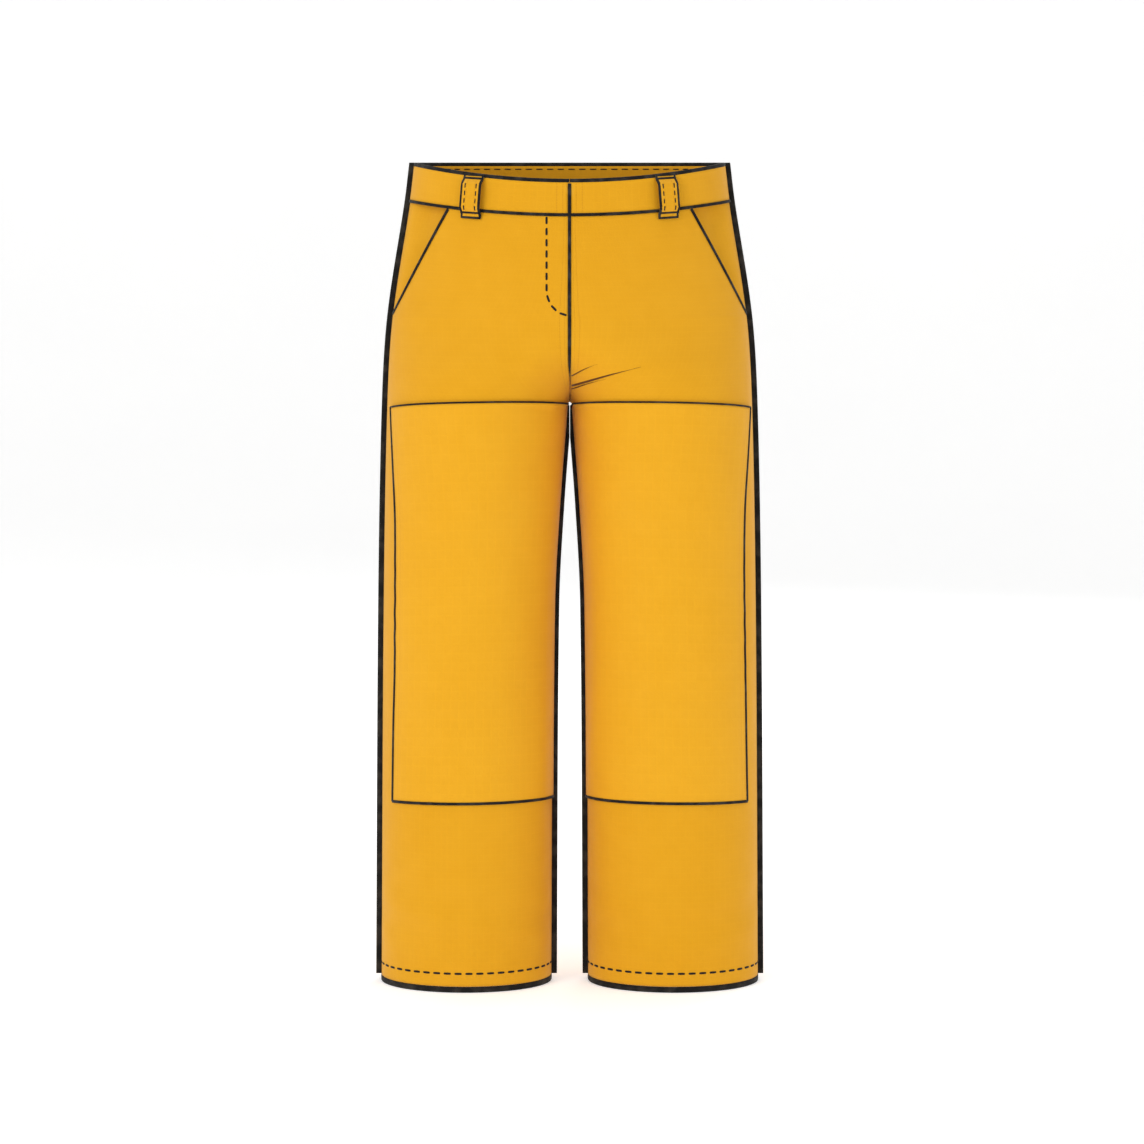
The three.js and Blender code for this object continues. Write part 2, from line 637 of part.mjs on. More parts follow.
// A ring round the foot of one leg, between two offsets.
function hemRing(half, level, height, outside, inside) {
  const turns = evenly(0, 2 * Math.PI, 2 * COLUMNS).slice(0, -1);
  if (half === RIGHT) {
    turns.reverse(); // an outline runs the same way round on both legs
  }
  const loop = (offset) => turns.map((turn) => {
    const face = turn < Math.PI ? BACK : FRONT;
    const angle = turn < Math.PI ? turn : 2 * Math.PI - turn;
    const { point, normal } = surface(half, face, angle, level);
    return new THREE.Vector2(point.x + normal.x * offset, point.y + normal.y * offset);
  });
  const shape = new THREE.Shape(loop(outside));
  shape.holes.push(new THREE.Path(loop(inside)));
  const geometry = new THREE.ExtrudeGeometry(shape, { depth: height, bevelEnabled: false });
  geometry.translate(0, 0, level);
  return closedBody(geometry);
}
for (const [half, side] of HALVES) {
  add(`hem_binding_${side}`, hemRing(half, 0, HEM_BINDING, BAND_PROUD, -CLOTH - GAP), BINDING);
  const turnUp = [PANEL_FOOT, HEM_TURN, -CLOTH - CURVED_GAP, -CLOTH - CURVED_GAP - FACING];
  add(`hem_facing_${side}`, hemRing(half, ...turnUp), CANVAS);
}

// --- belt loops -----------------------------------------------------------------------------------

// A strip tacked at head and foot, standing off the waistband by the room for a belt.
function beltLoop(name, half, face, distance) {
  const dipAt = (level) => surface(half, face, angleAt(distance, level), level).point.z;
  const level = (WAIST_SEAM + OUTSEAM) / 2;
  const head = dipAt(OUTSEAM) - LOOP_OVERHANG_TOP - dipAt(level);
  const foot = dipAt(WAIST_SEAM) - LOOP_OVERHANG_FOOT - dipAt(level);
  const base = BAND_PROUD + CURVED_GAP + GAP;
  const rise = base + BELT_ROOM;
  const strip = new THREE.Shape([
    [base, foot],
    [base + LOOP_CLOTH, foot],
    [rise + LOOP_CLOTH, foot + LOOP_TACK],
    [rise + LOOP_CLOTH, head - LOOP_TACK],
    [base + LOOP_CLOTH, head],
    [base, head],
    [base, head - LOOP_TACK + LOOP_CLOTH],
    [rise, head - LOOP_TACK - LOOP_CLOTH],
    [rise, foot + LOOP_TACK + LOOP_CLOTH],
    [base, foot + LOOP_TACK - LOOP_CLOTH],
  ].map(([out, up]) => new THREE.Vector2(out, up)));
  const geometry = new THREE.ExtrudeGeometry(strip, { depth: LOOP_WIDTH, bevelEnabled: false });
  geometry.translate(0, 0, -LOOP_WIDTH / 2);
  const angle = angleAt(distance, level);
  const { point, normal } = surface(half, face, angle, level);
  const above = surface(half, face, angle, OUTSEAM).point;
  const below = surface(half, face, angle, WAIST_SEAM).point;
  const up = above.sub(below).normalize();
  const along = new THREE.Vector3().crossVectors(normal, up).normalize();
  const out = new THREE.Vector3().crossVectors(up, along);
  const mesh = add(name, closedBody(geometry), CANVAS);
  mesh.quaternion.setFromRotationMatrix(new THREE.Matrix4().makeBasis(out, up, along));
  mesh.position.copy(point);
}
beltLoop('belt_loop_front_right', RIGHT, FRONT, FRONT_LOOP);
beltLoop('belt_loop_front_left', LEFT, FRONT, FRONT_LOOP);
beltLoop('belt_loop_back_right', RIGHT, BACK, BACK_LOOP);
beltLoop('belt_loop_back_left', LEFT, BACK, BACK_LOOP);
beltLoop('belt_loop_back_centre', LEFT, BACK, 0);

// --- liner ----------------------------------------------------------------------------------------

// The liner lies close to the shell, and passes behind the pocket bags and the fly.
const smooth = THREE.MathUtils.smoothstep;
const LINER_TOP = WAIST_SEAM + LINER_LAP;
const behindFly = SHIELD_DEPTH + LINER + CURVED_GAP + STUD_PLATE - LINER_DEPTH;
const behindBag = -BAG_BACK - LINER_DEPTH + LINER_ROOM;
const linerFace = (face) => (angle, level) => {
  if (face === BACK) {
    return -LINER_DEPTH;
  }
  const pastHip = smooth(level, HIP_LINE - LINER_RAMP, HIP_LINE - LINER_ROOM);
  const flyInner = angleAt(SHIELD_REACH + LINER_ROOM, level);
  const nearFly = smooth(angle, angleAt(2 * SHIELD_REACH, level), flyInner);
  const pastBag = smooth(level, POCKET_FOOT - LINER_RAMP, POCKET_FOOT - LINER_ROOM);
  const bagEdge = bagInner(level) + LINER_TURN;
  const overBag = 1 - smooth(angle, bagEdge, bagEdge + LINER_SWEEP);
  return -LINER_DEPTH - Math.max(behindFly * pastHip * nearFly, behindBag * pastBag * overBag);
};
const linerLevels = [
  ...evenly(LINER_HEM, INSEAM, LINER_ROWS),
  ...riseLevels.slice(1),
  ...hipLevels.slice(2),
  LINER_TOP,
];
for (const [half, side] of HALVES) {
  for (const [face, name] of [[FRONT, 'front'], [BACK, 'back']]) {
    const outside = linerFace(face);
    add(`liner_${name}_${side}`, bentBlock({
      half,
      face,
      levels: linerLevels,
      stations: between(innerEdge, sideEdge, COLUMNS),
      outside,
      inside: (angle, level) => outside(angle, level) - LINER,
    }), QUILT);
  }
}

// The origin is on the floor, under the middle of the box.
const box = new THREE.Box3().setFromObject(trousers, true);
trousers.position.y = -(box.min.y + box.max.y) / 2;

export default trousers;
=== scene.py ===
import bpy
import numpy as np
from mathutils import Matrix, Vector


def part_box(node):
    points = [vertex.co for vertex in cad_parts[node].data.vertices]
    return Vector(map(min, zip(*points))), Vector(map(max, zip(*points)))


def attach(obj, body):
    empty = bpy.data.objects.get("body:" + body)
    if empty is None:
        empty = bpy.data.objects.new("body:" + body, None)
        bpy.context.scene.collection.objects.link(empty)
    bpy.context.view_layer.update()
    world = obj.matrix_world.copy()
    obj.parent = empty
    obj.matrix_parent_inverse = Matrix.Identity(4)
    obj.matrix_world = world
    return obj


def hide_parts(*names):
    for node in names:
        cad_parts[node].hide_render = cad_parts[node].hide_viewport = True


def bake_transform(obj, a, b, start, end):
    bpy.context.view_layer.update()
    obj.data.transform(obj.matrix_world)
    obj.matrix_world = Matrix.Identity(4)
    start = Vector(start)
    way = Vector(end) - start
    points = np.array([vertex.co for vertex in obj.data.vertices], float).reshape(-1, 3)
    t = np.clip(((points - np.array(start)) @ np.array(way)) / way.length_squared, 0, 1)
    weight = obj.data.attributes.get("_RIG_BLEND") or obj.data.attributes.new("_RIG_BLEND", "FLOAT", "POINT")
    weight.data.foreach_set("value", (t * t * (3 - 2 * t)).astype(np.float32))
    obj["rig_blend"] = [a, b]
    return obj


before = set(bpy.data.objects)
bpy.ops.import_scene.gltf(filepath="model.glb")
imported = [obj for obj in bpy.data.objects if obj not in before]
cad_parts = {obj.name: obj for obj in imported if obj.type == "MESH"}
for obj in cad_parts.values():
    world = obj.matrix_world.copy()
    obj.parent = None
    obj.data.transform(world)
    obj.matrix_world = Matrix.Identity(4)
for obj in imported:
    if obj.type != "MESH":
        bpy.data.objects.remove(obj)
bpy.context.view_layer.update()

"""Bunker trousers, dressed: cloth, trim, stitching and a plain studio.

Metres, +Z up. The front faces -Y and the wearer's right side is -X. A place on the garment is an
angle round one half of it (0 at the side seam, pi at the inseam or past the centre) and a level,
the height that it would have at the side seam. Layers lie at offsets from it, outward positive.
"""

import logging
import math
from collections.abc import Callable
from dataclasses import dataclass, field
from enum import Enum
from functools import lru_cache

import bmesh
import bpy
from mathutils import Matrix, Vector, noise

logger = logging.getLogger("bunker_trousers")
Number = float | Callable[[float, float], float]


class Half(Enum):
    """The two halves of the garment, by the wearer's side."""

    RIGHT = -1
    LEFT = 1

    @property
    def word(self) -> str:
        """The half's name as it stands in the names of pieces."""
        return self.name.lower()


class Face(Enum):
    """The front and the back of the garment."""

    FRONT = -1
    BACK = 1

    @property
    def word(self) -> str:
        """The face's name as it stands in the names of pieces."""
        return self.name.lower()


class Ride(Enum):
    """What a piece moves with: the garment, the fly flap, or both across the fly's fold."""

    GARMENT = "garment"
    FLAP = "fly_flap"
    FOLD = "fold"


class Slot(Enum):
    """The names of the garment's material slots."""

    SHELL = "shell_fabric"
    PATCH = "patch_fabric"
    BINDING = "seam_binding"
    POCKETING = "pocketing"
    LINER = "liner_quilt"
    TAPE = "hook_and_loop"
    METAL = "stud_metal"


def climb(value: float, start: float, end: float) -> float:
    """The share of the way from start to end, held between 0 and 1."""
    return min(max((value - start) / (end - start), 0.0), 1.0)


def ease(value: float, start: float, end: float) -> float:
    """The same share, with a smooth start and end."""
    share = climb(value, start, end)
    return share * share * (3 - 2 * share)


def mix(start: float, end: float, share: float) -> float:
    """The value that share of the way from start to end."""
    return start + (end - start) * share


# --- the garment's cut -------------------------------------------------------------------------


@dataclass(frozen=True)
class Profile:
    """A smooth curve of one size against the level.

    Attributes:
        points: (level, size) pairs in rising order of level.
    """

    points: tuple[tuple[float, float], ...]

    def slope(self, index: int) -> float:
        """The curve's slope at one of its points."""
        low = self.points[max(index - 1, 0)]
        high = self.points[min(index + 1, len(self.points) - 1)]
        return (high[1] - low[1]) / (high[0] - low[0])

    def at(self, level: float) -> float:
        """The size at a level.

        Args:
            level: height in metres.

        Returns:
            The size in metres, or whatever the points hold.
        """
        index = 0
        while index < len(self.points) - 2 and level > self.points[index + 1][0]:
            index += 1
        start, end = self.points[index], self.points[index + 1]
        span = end[0] - start[0]
        share = climb(level, start[0], end[0])
        bend = span * share * (1 - share)
        turn = bend * ((1 - share) * self.slope(index) - share * self.slope(index + 1))
        return mix(start[1], end[1], share * share * (3 - 2 * share)) + turn


@dataclass(frozen=True)
class Cut:
    """The sizes that the whole garment shares, in metres."""

    seam_plane: float
    inseam: float = 0.742
    hip_line: float = 0.854
    waist_seam: float = 0.997
    outseam: float = 1.045
    knee: float = 0.484
    mid_thigh: float = 0.613
    waist_half: float = 0.195
    waist_seam_half: float = 0.201
    hip_half: float = 0.2235
    thigh_half: float = 0.231
    knee_half: float = 0.237
    hem_half: float = 0.242
    crotch_gap: float = 0.004
    thigh_gap: float = 0.014
    knee_gap: float = 0.0205
    hem_gap: float = 0.0237
    waist_front: float = 0.107
    hip_front: float = 0.117
    thigh_front: float = 0.104
    knee_front: float = 0.096
    hem_front: float = 0.086
    waist_back: float = 0.104
    hip_back: float = 0.136
    thigh_back: float = 0.112
    knee_back: float = 0.100
    hem_back: float = 0.090
    seam_dip: float = 0.016
    edge_dip: float = 0.020
    cloth: float = 0.002
    facing: float = 0.0012
    liner: float = 0.0015
    gap: float = 0.0003
    band_proud: float = 0.0006
    fold_width: float = 0.045
    fold_proud: float = 0.002
    mouth_top: float = 0.151
    panel_foot: float = 0.0078
    bound_edge: float = 0.0053

    @property
    def band_top(self) -> float:
        """The head of the fly's layers, under the waist binding."""
        return self.outseam - self.bound_edge


@dataclass(frozen=True)
class Drape:
    """How far worn cloth stands off its pattern, in metres.

    Attributes:
        wave: depth of the long soft folds down the legs.
        knee: depth of the creases behind the knees.
        pull: depth of the folds that fan out from the crotch.
        hip_share: what is left of the folds over the front of the hips, which lie flat.
        crease: depth of the small creases.
        knee_spread: how far the knee creases reach up and down.
        knee_ripple: spacing of the knee creases.
        front_knee_share: what is left of them in front.
        front_fan_share: what is left of the crotch folds in front.
        fan_fade: how fast the crotch folds fade.
        ankle: depth of the folds above the hem.
        ankle_level: their level.
        ankle_spread: how far they reach up and down.
    """

    wave: float = 0.0038
    knee: float = 0.0026
    pull: float = 0.0032
    hip_share: float = 0.25
    crease: float = 0.0007
    knee_spread: float = 0.075
    knee_ripple: float = 0.034
    front_knee_share: float = 0.16
    front_fan_share: float = 0.55
    fan_fade: float = 0.085
    ankle: float = 0.0012
    ankle_level: float = 0.09
    ankle_spread: float = 0.05

    def fan(self, cut: Cut, face: Face, across: float, level: float) -> float:
        """Folds that fan out from the crotch.

        Args:
            cut: the garment's sizes.
            face: front or back.
            across: distance from the middle of the body.
            level: height.

        Returns:
            The depth there.
        """
        away = Vector((across, level - cut.inseam))
        reach = away.length
        turn = math.atan2(away.y, max(across, 1e-4))
        fold = math.sin(turn * 7.0 + noise.noise(Vector((reach * 9, turn, face.value))) * 2.2)
        share = 1.0 if face is Face.BACK else self.front_fan_share
        return self.pull * share * fold * ease(reach, 0.015, 0.07) * math.exp(-reach / self.fan_fade)

    def depth(self, cut: Cut, half: Half, face: Face, place: tuple[float, float, float]) -> float:
        """The depth of all folds at a place, before they fade at the seams.

        Args:
            cut: the garment's sizes.
            half: the wearer's side.
            face: front or back.
            place: distance round from the side seam, distance from the middle, and level.

        Returns:
            The depth, outward positive.
        """
        along, across, level = place
        seed = 5.1 * half.value + 11.7 * face.value
        drift = noise.noise(Vector((along * 3.0, level * 2.4, seed)))
        long_folds = noise.noise(Vector((along * 10 + drift, level * 2.1 + along, seed + 3)))
        small = noise.noise(Vector((along * 26, level * 12 + drift * 2, seed + 9)))
        depth = self.wave * (0.75 * long_folds + 0.45 * drift) + self.crease * small
        bunch = math.exp(-(((level - cut.knee + 0.01) / self.knee_spread) ** 2))
        ripple = math.sin((level + 0.012 * drift + 0.05 * along) * 2 * math.pi / self.knee_ripple)
        share = 1.0 if face is Face.BACK else self.front_knee_share
        depth += self.knee * share * bunch * ripple * (0.55 + 0.45 * small)
        ankle = math.exp(-(((level - self.ankle_level) / self.ankle_spread) ** 2))
        depth += self.ankle * ankle * math.sin((level * 21 + along * 5 + drift) * 2 * math.pi / 1.3)
        depth += self.fan(cut, face, across, level)
        if face is Face.FRONT:
            depth *= mix(1.0, self.hip_share, ease(level, 0.80, 0.87))
        return depth


class GarmentSurface:
    """The outer face of the shell cloth, on which every other layer lies."""

    def __init__(self, cut: Cut, drape: Drape) -> None:
        """Set up the curves of the garment's outline.

        Args:
            cut: the garment's sizes.
            drape: its folds.
        """
        self.cut = cut
        self.drape = drape
        self.outline = Profile((
            (0, cut.hem_half), (cut.knee, cut.knee_half), (cut.inseam, cut.thigh_half),
            (cut.hip_line, cut.hip_half), (cut.waist_seam, cut.waist_seam_half),
            (cut.outseam, cut.waist_half),
        ))
        self.leg_gap = Profile((
            (0, cut.hem_gap), (cut.knee, cut.knee_gap), (cut.mid_thigh, cut.thigh_gap),
            (cut.inseam, cut.crotch_gap),
        ))
        self.depths = {
            Face.FRONT: Profile((
                (0, cut.hem_front), (cut.knee, cut.knee_front), (cut.mid_thigh, cut.thigh_front),
                (cut.hip_line, cut.hip_front), (cut.outseam, cut.waist_front),
            )),
            Face.BACK: Profile((
                (0, cut.hem_back), (cut.knee, cut.knee_back), (cut.mid_thigh, cut.thigh_back),
                (cut.hip_line, cut.hip_back), (cut.outseam, cut.waist_back),
            )),
        }
        self.row = lru_cache(maxsize=8192)(self._row)

    def _row(self, level: float) -> tuple[float, float, float, float, float, float]:
        """Half width, section centre, section reach, front depth, back depth and dip."""
        cut = self.cut
        outer = self.outline.at(level)
        if level < cut.inseam + 1e-5:
            inner = self.leg_gap.at(level)
            centre, reach = (outer + inner) / 2, (outer - inner) / 2
        else:
            spread = (1 + math.cos(math.pi * climb(level, cut.inseam, cut.hip_line))) / 2
            reach = outer / (1 + spread)
            centre = spread * reach
        dip = cut.seam_dip * climb(level, cut.hip_line, cut.waist_seam)
        dip += (cut.edge_dip - cut.seam_dip) * climb(level, cut.waist_seam, cut.outseam)
        front, back = self.depths[Face.FRONT].at(level), self.depths[Face.BACK].at(level)
        return outer, centre, reach, front, back, dip

    def half_width(self, level: float) -> float:
        """Distance from the middle of the body to the side seam."""
        return self.row(level)[0]

    def angle_at(self, distance: float, level: float) -> float:
        """The angle at which the section reaches a distance from the middle of the body."""
        _, centre, reach, *_ = self.row(level)
        return math.acos(min(max((distance - centre) / reach, -1.0), 1.0))

    def lie(self, half: Half, face: Face, angle: float, level: float) -> tuple[Vector, Vector, float]:
        """The unfolded surface.

        Args:
            half: the wearer's side.
            face: front or back.
            angle: angle round the half.
            level: height at the side seam.

        Returns:
            The point, the level outward normal, and the distance from the middle.
        """
        outer, centre, reach, front, back, dip = self.row(level)
        depth = front if face is Face.FRONT else back
        across = centre + reach * math.cos(angle)
        drop = dip * (1 - (across / outer) ** 2) if face is Face.FRONT else 0.0
        y = self.cut.seam_plane + face.value * depth * math.sin(angle)
        normal = Vector((
            half.value * math.cos(angle) / reach, face.value * math.sin(angle) / depth, 0.0,
        ))
        return Vector((half.value * across, y, level - drop)), normal.normalized(), across

    def fold_depth(self, half: Half, face: Face, angle: float, level: float) -> float:
        """The depth of the folds, faded out at seams, hem and waist.

        Args:
            half: the wearer's side.
            face: front or back.
            angle: angle round the half.
            level: height at the side seam.

        Returns:
            The depth, outward positive.
        """
        outer, centre, reach, front, back, _ = self.row(level)
        across = centre + reach * math.cos(angle)
        depth = front if face is Face.FRONT else back
        leg_room = (math.pi - angle) * depth
        inner_room = mix(leg_room, across, ease(level, self.cut.inseam, self.cut.hip_line))
        room = min(angle * depth, inner_room)
        fade = ease(room, 0.001, 0.032) * ease(level, 0.010, 0.055)
        fade *= 1 - ease(level, 0.925, 0.985)
        if fade <= 0:
            return 0.0
        place = (angle * (reach + depth) / 2, across, level)
        return fade * self.drape.depth(self.cut, half, face, place)

    def spot(
        self, half: Half, face: Face, angle: float, level: float, offset: float, folded: bool = True,
    ) -> tuple[Vector, Vector]:
        """A point of one layer.

        Args:
            half: the wearer's side.
            face: front or back.
            angle: angle round the half.
            level: height at the side seam.
            offset: depth of the layer, outward positive.
            folded: whether the cloth's folds count.

        Returns:
            The point and the outward normal there.
        """
        point, normal, _ = self.lie(half, face, angle, level)
        if folded:
            offset += self.fold_depth(half, face, angle, level)
        return point + normal * offset, normal

    # edges that several layers share

    def side_edge(self, level: float) -> float:
        """The angle of a panel's edge at the side seam."""
        return self.cut.gap / 2 / self.row(level)[3]

    def inner_edge(self, level: float) -> float:
        """The angle of a panel's edge at the inseam, or at the centre above the crotch."""
        if level < self.cut.inseam + 1e-5:
            return math.pi - self.side_edge(level)
        return self.angle_at(self.cut.gap / 2, level)

    def fold_x(self, level: float) -> float:
        """Distance from the centre front to the fly's fold."""
        rise = max(level - self.cut.hip_line, 0.0)
        return self.cut.fold_width * rise / (self.cut.outseam - self.cut.hip_line)

    def flap_edge(self, behind: float) -> Callable[[float], float]:
        """The free edge of a flap layer, clear of the left front as it swings.

        Args:
            behind: depth of the layer's inner corner behind the fold's axis.

        Returns:
            The edge's angle against the level.
        """

        def edge(level: float) -> float:
            """The angle of the free edge at a level."""
            if level <= self.cut.hip_line:
                return self.inner_edge(level)
            reach = self.fold_x(level)
            swing = reach - math.sqrt(max(reach * reach - behind * behind, 0.0))
            return self.angle_at(min(swing, 0.0012) + self.cut.gap, level)

        return edge

    def mouth_edge(self, level: float) -> float:
        """The angle of the slanted pocket mouth, or of the side seam below it."""
        cut = self.cut
        if level <= cut.hip_line:
            return self.side_edge(level)
        share = climb(level, cut.hip_line, cut.waist_seam)
        distance = mix(self.half_width(cut.hip_line), cut.mouth_top, share)
        return max(self.angle_at(distance, level), self.side_edge(level))


# --- finishes ------------------------------------------------------------------------------------


def linear(red: int, green: int, blue: int) -> tuple[float, float, float, float]:
    """A screen colour from 0 to 255 as a linear one."""
    def channel(value: int) -> float:
        """One channel as linear light."""
        share = value / 255
        return share / 12.92 if share <= 0.04045 else ((share + 0.055) / 1.055) ** 2.4
    return channel(red), channel(green), channel(blue), 1.0


class Nodes:
    """A node tree with short ways to add and wire nodes."""

    def __init__(self, tree: bpy.types.NodeTree) -> None:
        """Hold the tree that nodes are added to."""
        self.tree = tree

    def add(self, kind: str, **settings: object) -> bpy.types.Node:
        """Add a node.

        Args:
            kind: the node's class name.
            settings: attributes of the node.

        Returns:
            The node.
        """
        node = self.tree.nodes.new(kind)
        for key, value in settings.items():
            setattr(node, key, value)
        return node

    def wire(self, start: bpy.types.NodeSocket | float, end: bpy.types.NodeSocket) -> None:
        """Wire a socket to another, or set the value of the second."""
        if isinstance(start, bpy.types.NodeSocket):
            self.tree.links.new(start, end)
        else:
            end.default_value = start

    def maths(self, operation: str, *values: bpy.types.NodeSocket | float) -> bpy.types.NodeSocket:
        """Add a maths node.

        Args:
            operation: what it works out.
            values: its inputs, sockets or numbers.

        Returns:
            Its output.
        """
        node = self.add("ShaderNodeMath", operation=operation)
        for socket, value in zip(node.inputs, values):
            self.wire(value, socket)
        return node.outputs[0]

    def ramp(self, value: bpy.types.NodeSocket, low: float, high: float) -> bpy.types.NodeSocket:
        """A smooth step of a value from 0 at low to 1 at high."""
        node = self.add("ShaderNodeMapRange", interpolation_type="SMOOTHSTEP")
        self.wire(value, node.inputs["Value"])
        node.inputs["From Min"].default_value = low
        node.inputs["From Max"].default_value = high
        return node.outputs["Result"]

    def noise(self, where: bpy.types.NodeSocket, scale: float, detail: float) -> bpy.types.NodeSocket:
        """Noise of a scale at the places of a vector socket."""
        node = self.add("ShaderNodeTexNoise")
        self.wire(where, node.inputs["Vector"])
        node.inputs["Scale"].default_value = scale
        node.inputs["Detail"].default_value = detail
        return node.outputs["Fac"]

    def blend(
        self, share: bpy.types.NodeSocket | float, start: object, end: object, kind: str = "MIX",
    ) -> bpy.types.NodeSocket:
        """Mix two colours.

        Args:
            share: how much of the second.
            start: the first colour or its socket.
            end: the second colour or its socket.
            kind: the kind of mix.

        Returns:
            The mixed colour.
        """
        node = self.add("ShaderNodeMix", data_type="RGBA", blend_type=kind)
        self.wire(share, node.inputs[0])
        self.wire(start, node.inputs[6])
        self.wire(end, node.inputs[7])
        return node.outputs[2]


@dataclass(frozen=True)
class Effect:
    """A shader group that several finishes use.

    Attributes:
        name: the group's name.
        inputs: names and values of its float inputs.
        outputs: names of its float outputs.
    """

    name: str
    inputs: tuple[tuple[str, float], ...]
    outputs: tuple[str, ...]

    def draw(self, nodes: Nodes, given: bpy.types.Node, result: bpy.types.Node) -> None:
        """Draw the group's nodes between its inputs and outputs."""
        raise NotImplementedError

    def tree(self) -> bpy.types.NodeTree:
        """Make the group once and hand it out again after that.

        Returns:
            The group's node tree.
        """
        if self.name in bpy.data.node_groups:
            return bpy.data.node_groups[self.name]
        tree = bpy.data.node_groups.new(self.name, "ShaderNodeTree")
        tree.interface.new_socket("Cloth", in_out="INPUT", socket_type="NodeSocketVector")
        for name, value in self.inputs:
            socket = tree.interface.new_socket(name, in_out="INPUT", socket_type="NodeSocketFloat")
            socket.default_value = value
        for name in self.outputs:
            tree.interface.new_socket(name, in_out="OUTPUT", socket_type="NodeSocketFloat")
        nodes = Nodes(tree)
        self.draw(nodes, nodes.add("NodeGroupInput"), nodes.add("NodeGroupOutput"))
        return tree

    def use(self, nodes: Nodes, where: bpy.types.NodeSocket, **values: object) -> bpy.types.Node:
        """Place the group in a material.

        Args:
            nodes: the material's nodes.
            where: the cloth's own places.
            values: inputs by name, with _ for a space.

        Returns:
            The group node.
        """
        node = nodes.add("ShaderNodeGroup", node_tree=self.tree())
        nodes.wire(where, node.inputs["Cloth"])
        for key, value in values.items():
            nodes.wire(value, node.inputs[key.replace("_", " ").capitalize()])
        return node


class Weave(Effect):
    """Crossed threads, with a heavier thread every so often."""

    def draw(self, nodes: Nodes, given: bpy.types.Node, result: bpy.types.Node) -> None:
        """Draw plain weave as crossed waves."""
        split = nodes.add("ShaderNodeSeparateXYZ")
        nodes.wire(given.outputs["Cloth"], split.inputs[0])
        turn = nodes.maths("DIVIDE", math.pi, given.outputs["Thread"])
        warp = nodes.maths("SINE", nodes.maths("MULTIPLY", split.outputs["X"], turn))
        weft = nodes.maths("SINE", nodes.maths("MULTIPLY", split.outputs["Y"], turn))
        plain = nodes.maths("ABSOLUTE", nodes.maths("MULTIPLY", warp, weft))
        slow = nodes.maths("DIVIDE", math.pi, given.outputs["Grid"])
        ribs = []
        for socket in (split.outputs["X"], split.outputs["Y"]):
            wave = nodes.maths("ABSOLUTE", nodes.maths("COSINE", nodes.maths("MULTIPLY", socket, slow)))
            ribs.append(nodes.maths("POWER", wave, 40.0))
        rib = nodes.maths("MAXIMUM", *ribs)
        rough = nodes.noise(given.outputs["Cloth"], 1400.0, 2.0)
        height = nodes.maths("ADD", nodes.maths("MULTIPLY", plain, 0.7), nodes.maths("MULTIPLY", rib, 0.5))
        nodes.wire(nodes.maths("ADD", height, nodes.maths("MULTIPLY", rough, 0.25)), result.inputs["Height"])
        nodes.wire(nodes.maths("MULTIPLY_ADD", rib, 0.5, nodes.maths("MULTIPLY", plain, 0.5)),
                   result.inputs["Thread mask"])


class Wear(Effect):
    """Rubbed edges and uneven fading."""

    def draw(self, nodes: Nodes, given: bpy.types.Node, result: bpy.types.Node) -> None:
        """Draw an edge mask broken by noise, and a slow mottle."""
        object_place = nodes.add("ShaderNodeTexCoord").outputs["Object"]
        near = nodes.maths("SUBTRACT", 1.0, nodes.ramp(given.outputs["Edge"], 0.0004, 0.006))
        broken = nodes.ramp(nodes.noise(object_place, 70.0, 5.0), 0.42, 0.68)
        rubbed = nodes.maths("MULTIPLY", nodes.maths("MULTIPLY", near, broken), given.outputs["Amount"])
        nodes.wire(rubbed, result.inputs["Rubbed"])
        slow = nodes.noise(object_place, 5.0, 3.0)
        fine = nodes.noise(object_place, 42.0, 4.0)
        both = nodes.maths("MULTIPLY_ADD", fine, 0.4, nodes.maths("MULTIPLY", slow, 0.6))
        nodes.wire(nodes.ramp(both, 0.32, 0.68), result.inputs["Mottle"])


class Seam(Effect):
    """Two rows of fine tonal stitches beside a piece's long edges, in a slight valley."""

    def draw(self, nodes: Nodes, given: bpy.types.Node, result: bpy.types.Node) -> None:
        """Draw the rows from the distance to the edge and the run along it."""
        split = nodes.add("ShaderNodeSeparateXYZ")
        nodes.wire(given.outputs["Cloth"], split.inputs[0])
        run = nodes.maths("FRACT", nodes.maths("DIVIDE", split.outputs["Y"], 0.0036))
        dash = nodes.maths("SUBTRACT", 1.0, nodes.ramp(run, 0.68, 0.82))
        rows = []
        for away in (0.0065, 0.0125):
            off = nodes.maths("ABSOLUTE", nodes.maths("SUBTRACT", given.outputs["Edge"], away))
            rows.append(nodes.maths("SUBTRACT", 1.0, nodes.ramp(off, 0.00022, 0.0007)))
        row = nodes.maths("MAXIMUM", *rows)
        nodes.wire(nodes.maths("MULTIPLY", row, dash), result.inputs["Stitch"])
        off = nodes.maths("ABSOLUTE", nodes.maths("SUBTRACT", given.outputs["Edge"], 0.0095))
        pucker = nodes.noise(given.outputs["Cloth"], 160.0, 2.0)
        valley = nodes.maths("SUBTRACT", 1.0, nodes.ramp(off, 0.002, 0.010))
        nodes.wire(nodes.maths("MULTIPLY", valley, pucker), result.inputs["Pucker"])


WEAVE = Weave("Weave", (("Thread", 0.0011), ("Grid", 0.008)), ("Height", "Thread mask"))
WEAR = Wear("Wear", (("Edge", 1.0), ("Amount", 0.5)), ("Rubbed", "Mottle"))
SEAM = Seam("Seam rows", (("Edge", 1.0),), ("Stitch", "Pucker"))


def new_material(name: str) -> tuple[bpy.types.Material, Nodes, bpy.types.Node]:
    """A material with its shader.

    Args:
        name: the material's name.

    Returns:
        The material, its nodes and its shader node.
    """
    material = bpy.data.materials.new(name)
    material.use_nodes = True
    nodes = Nodes(material.node_tree)
    return material, nodes, material.node_tree.nodes["Principled BSDF"]


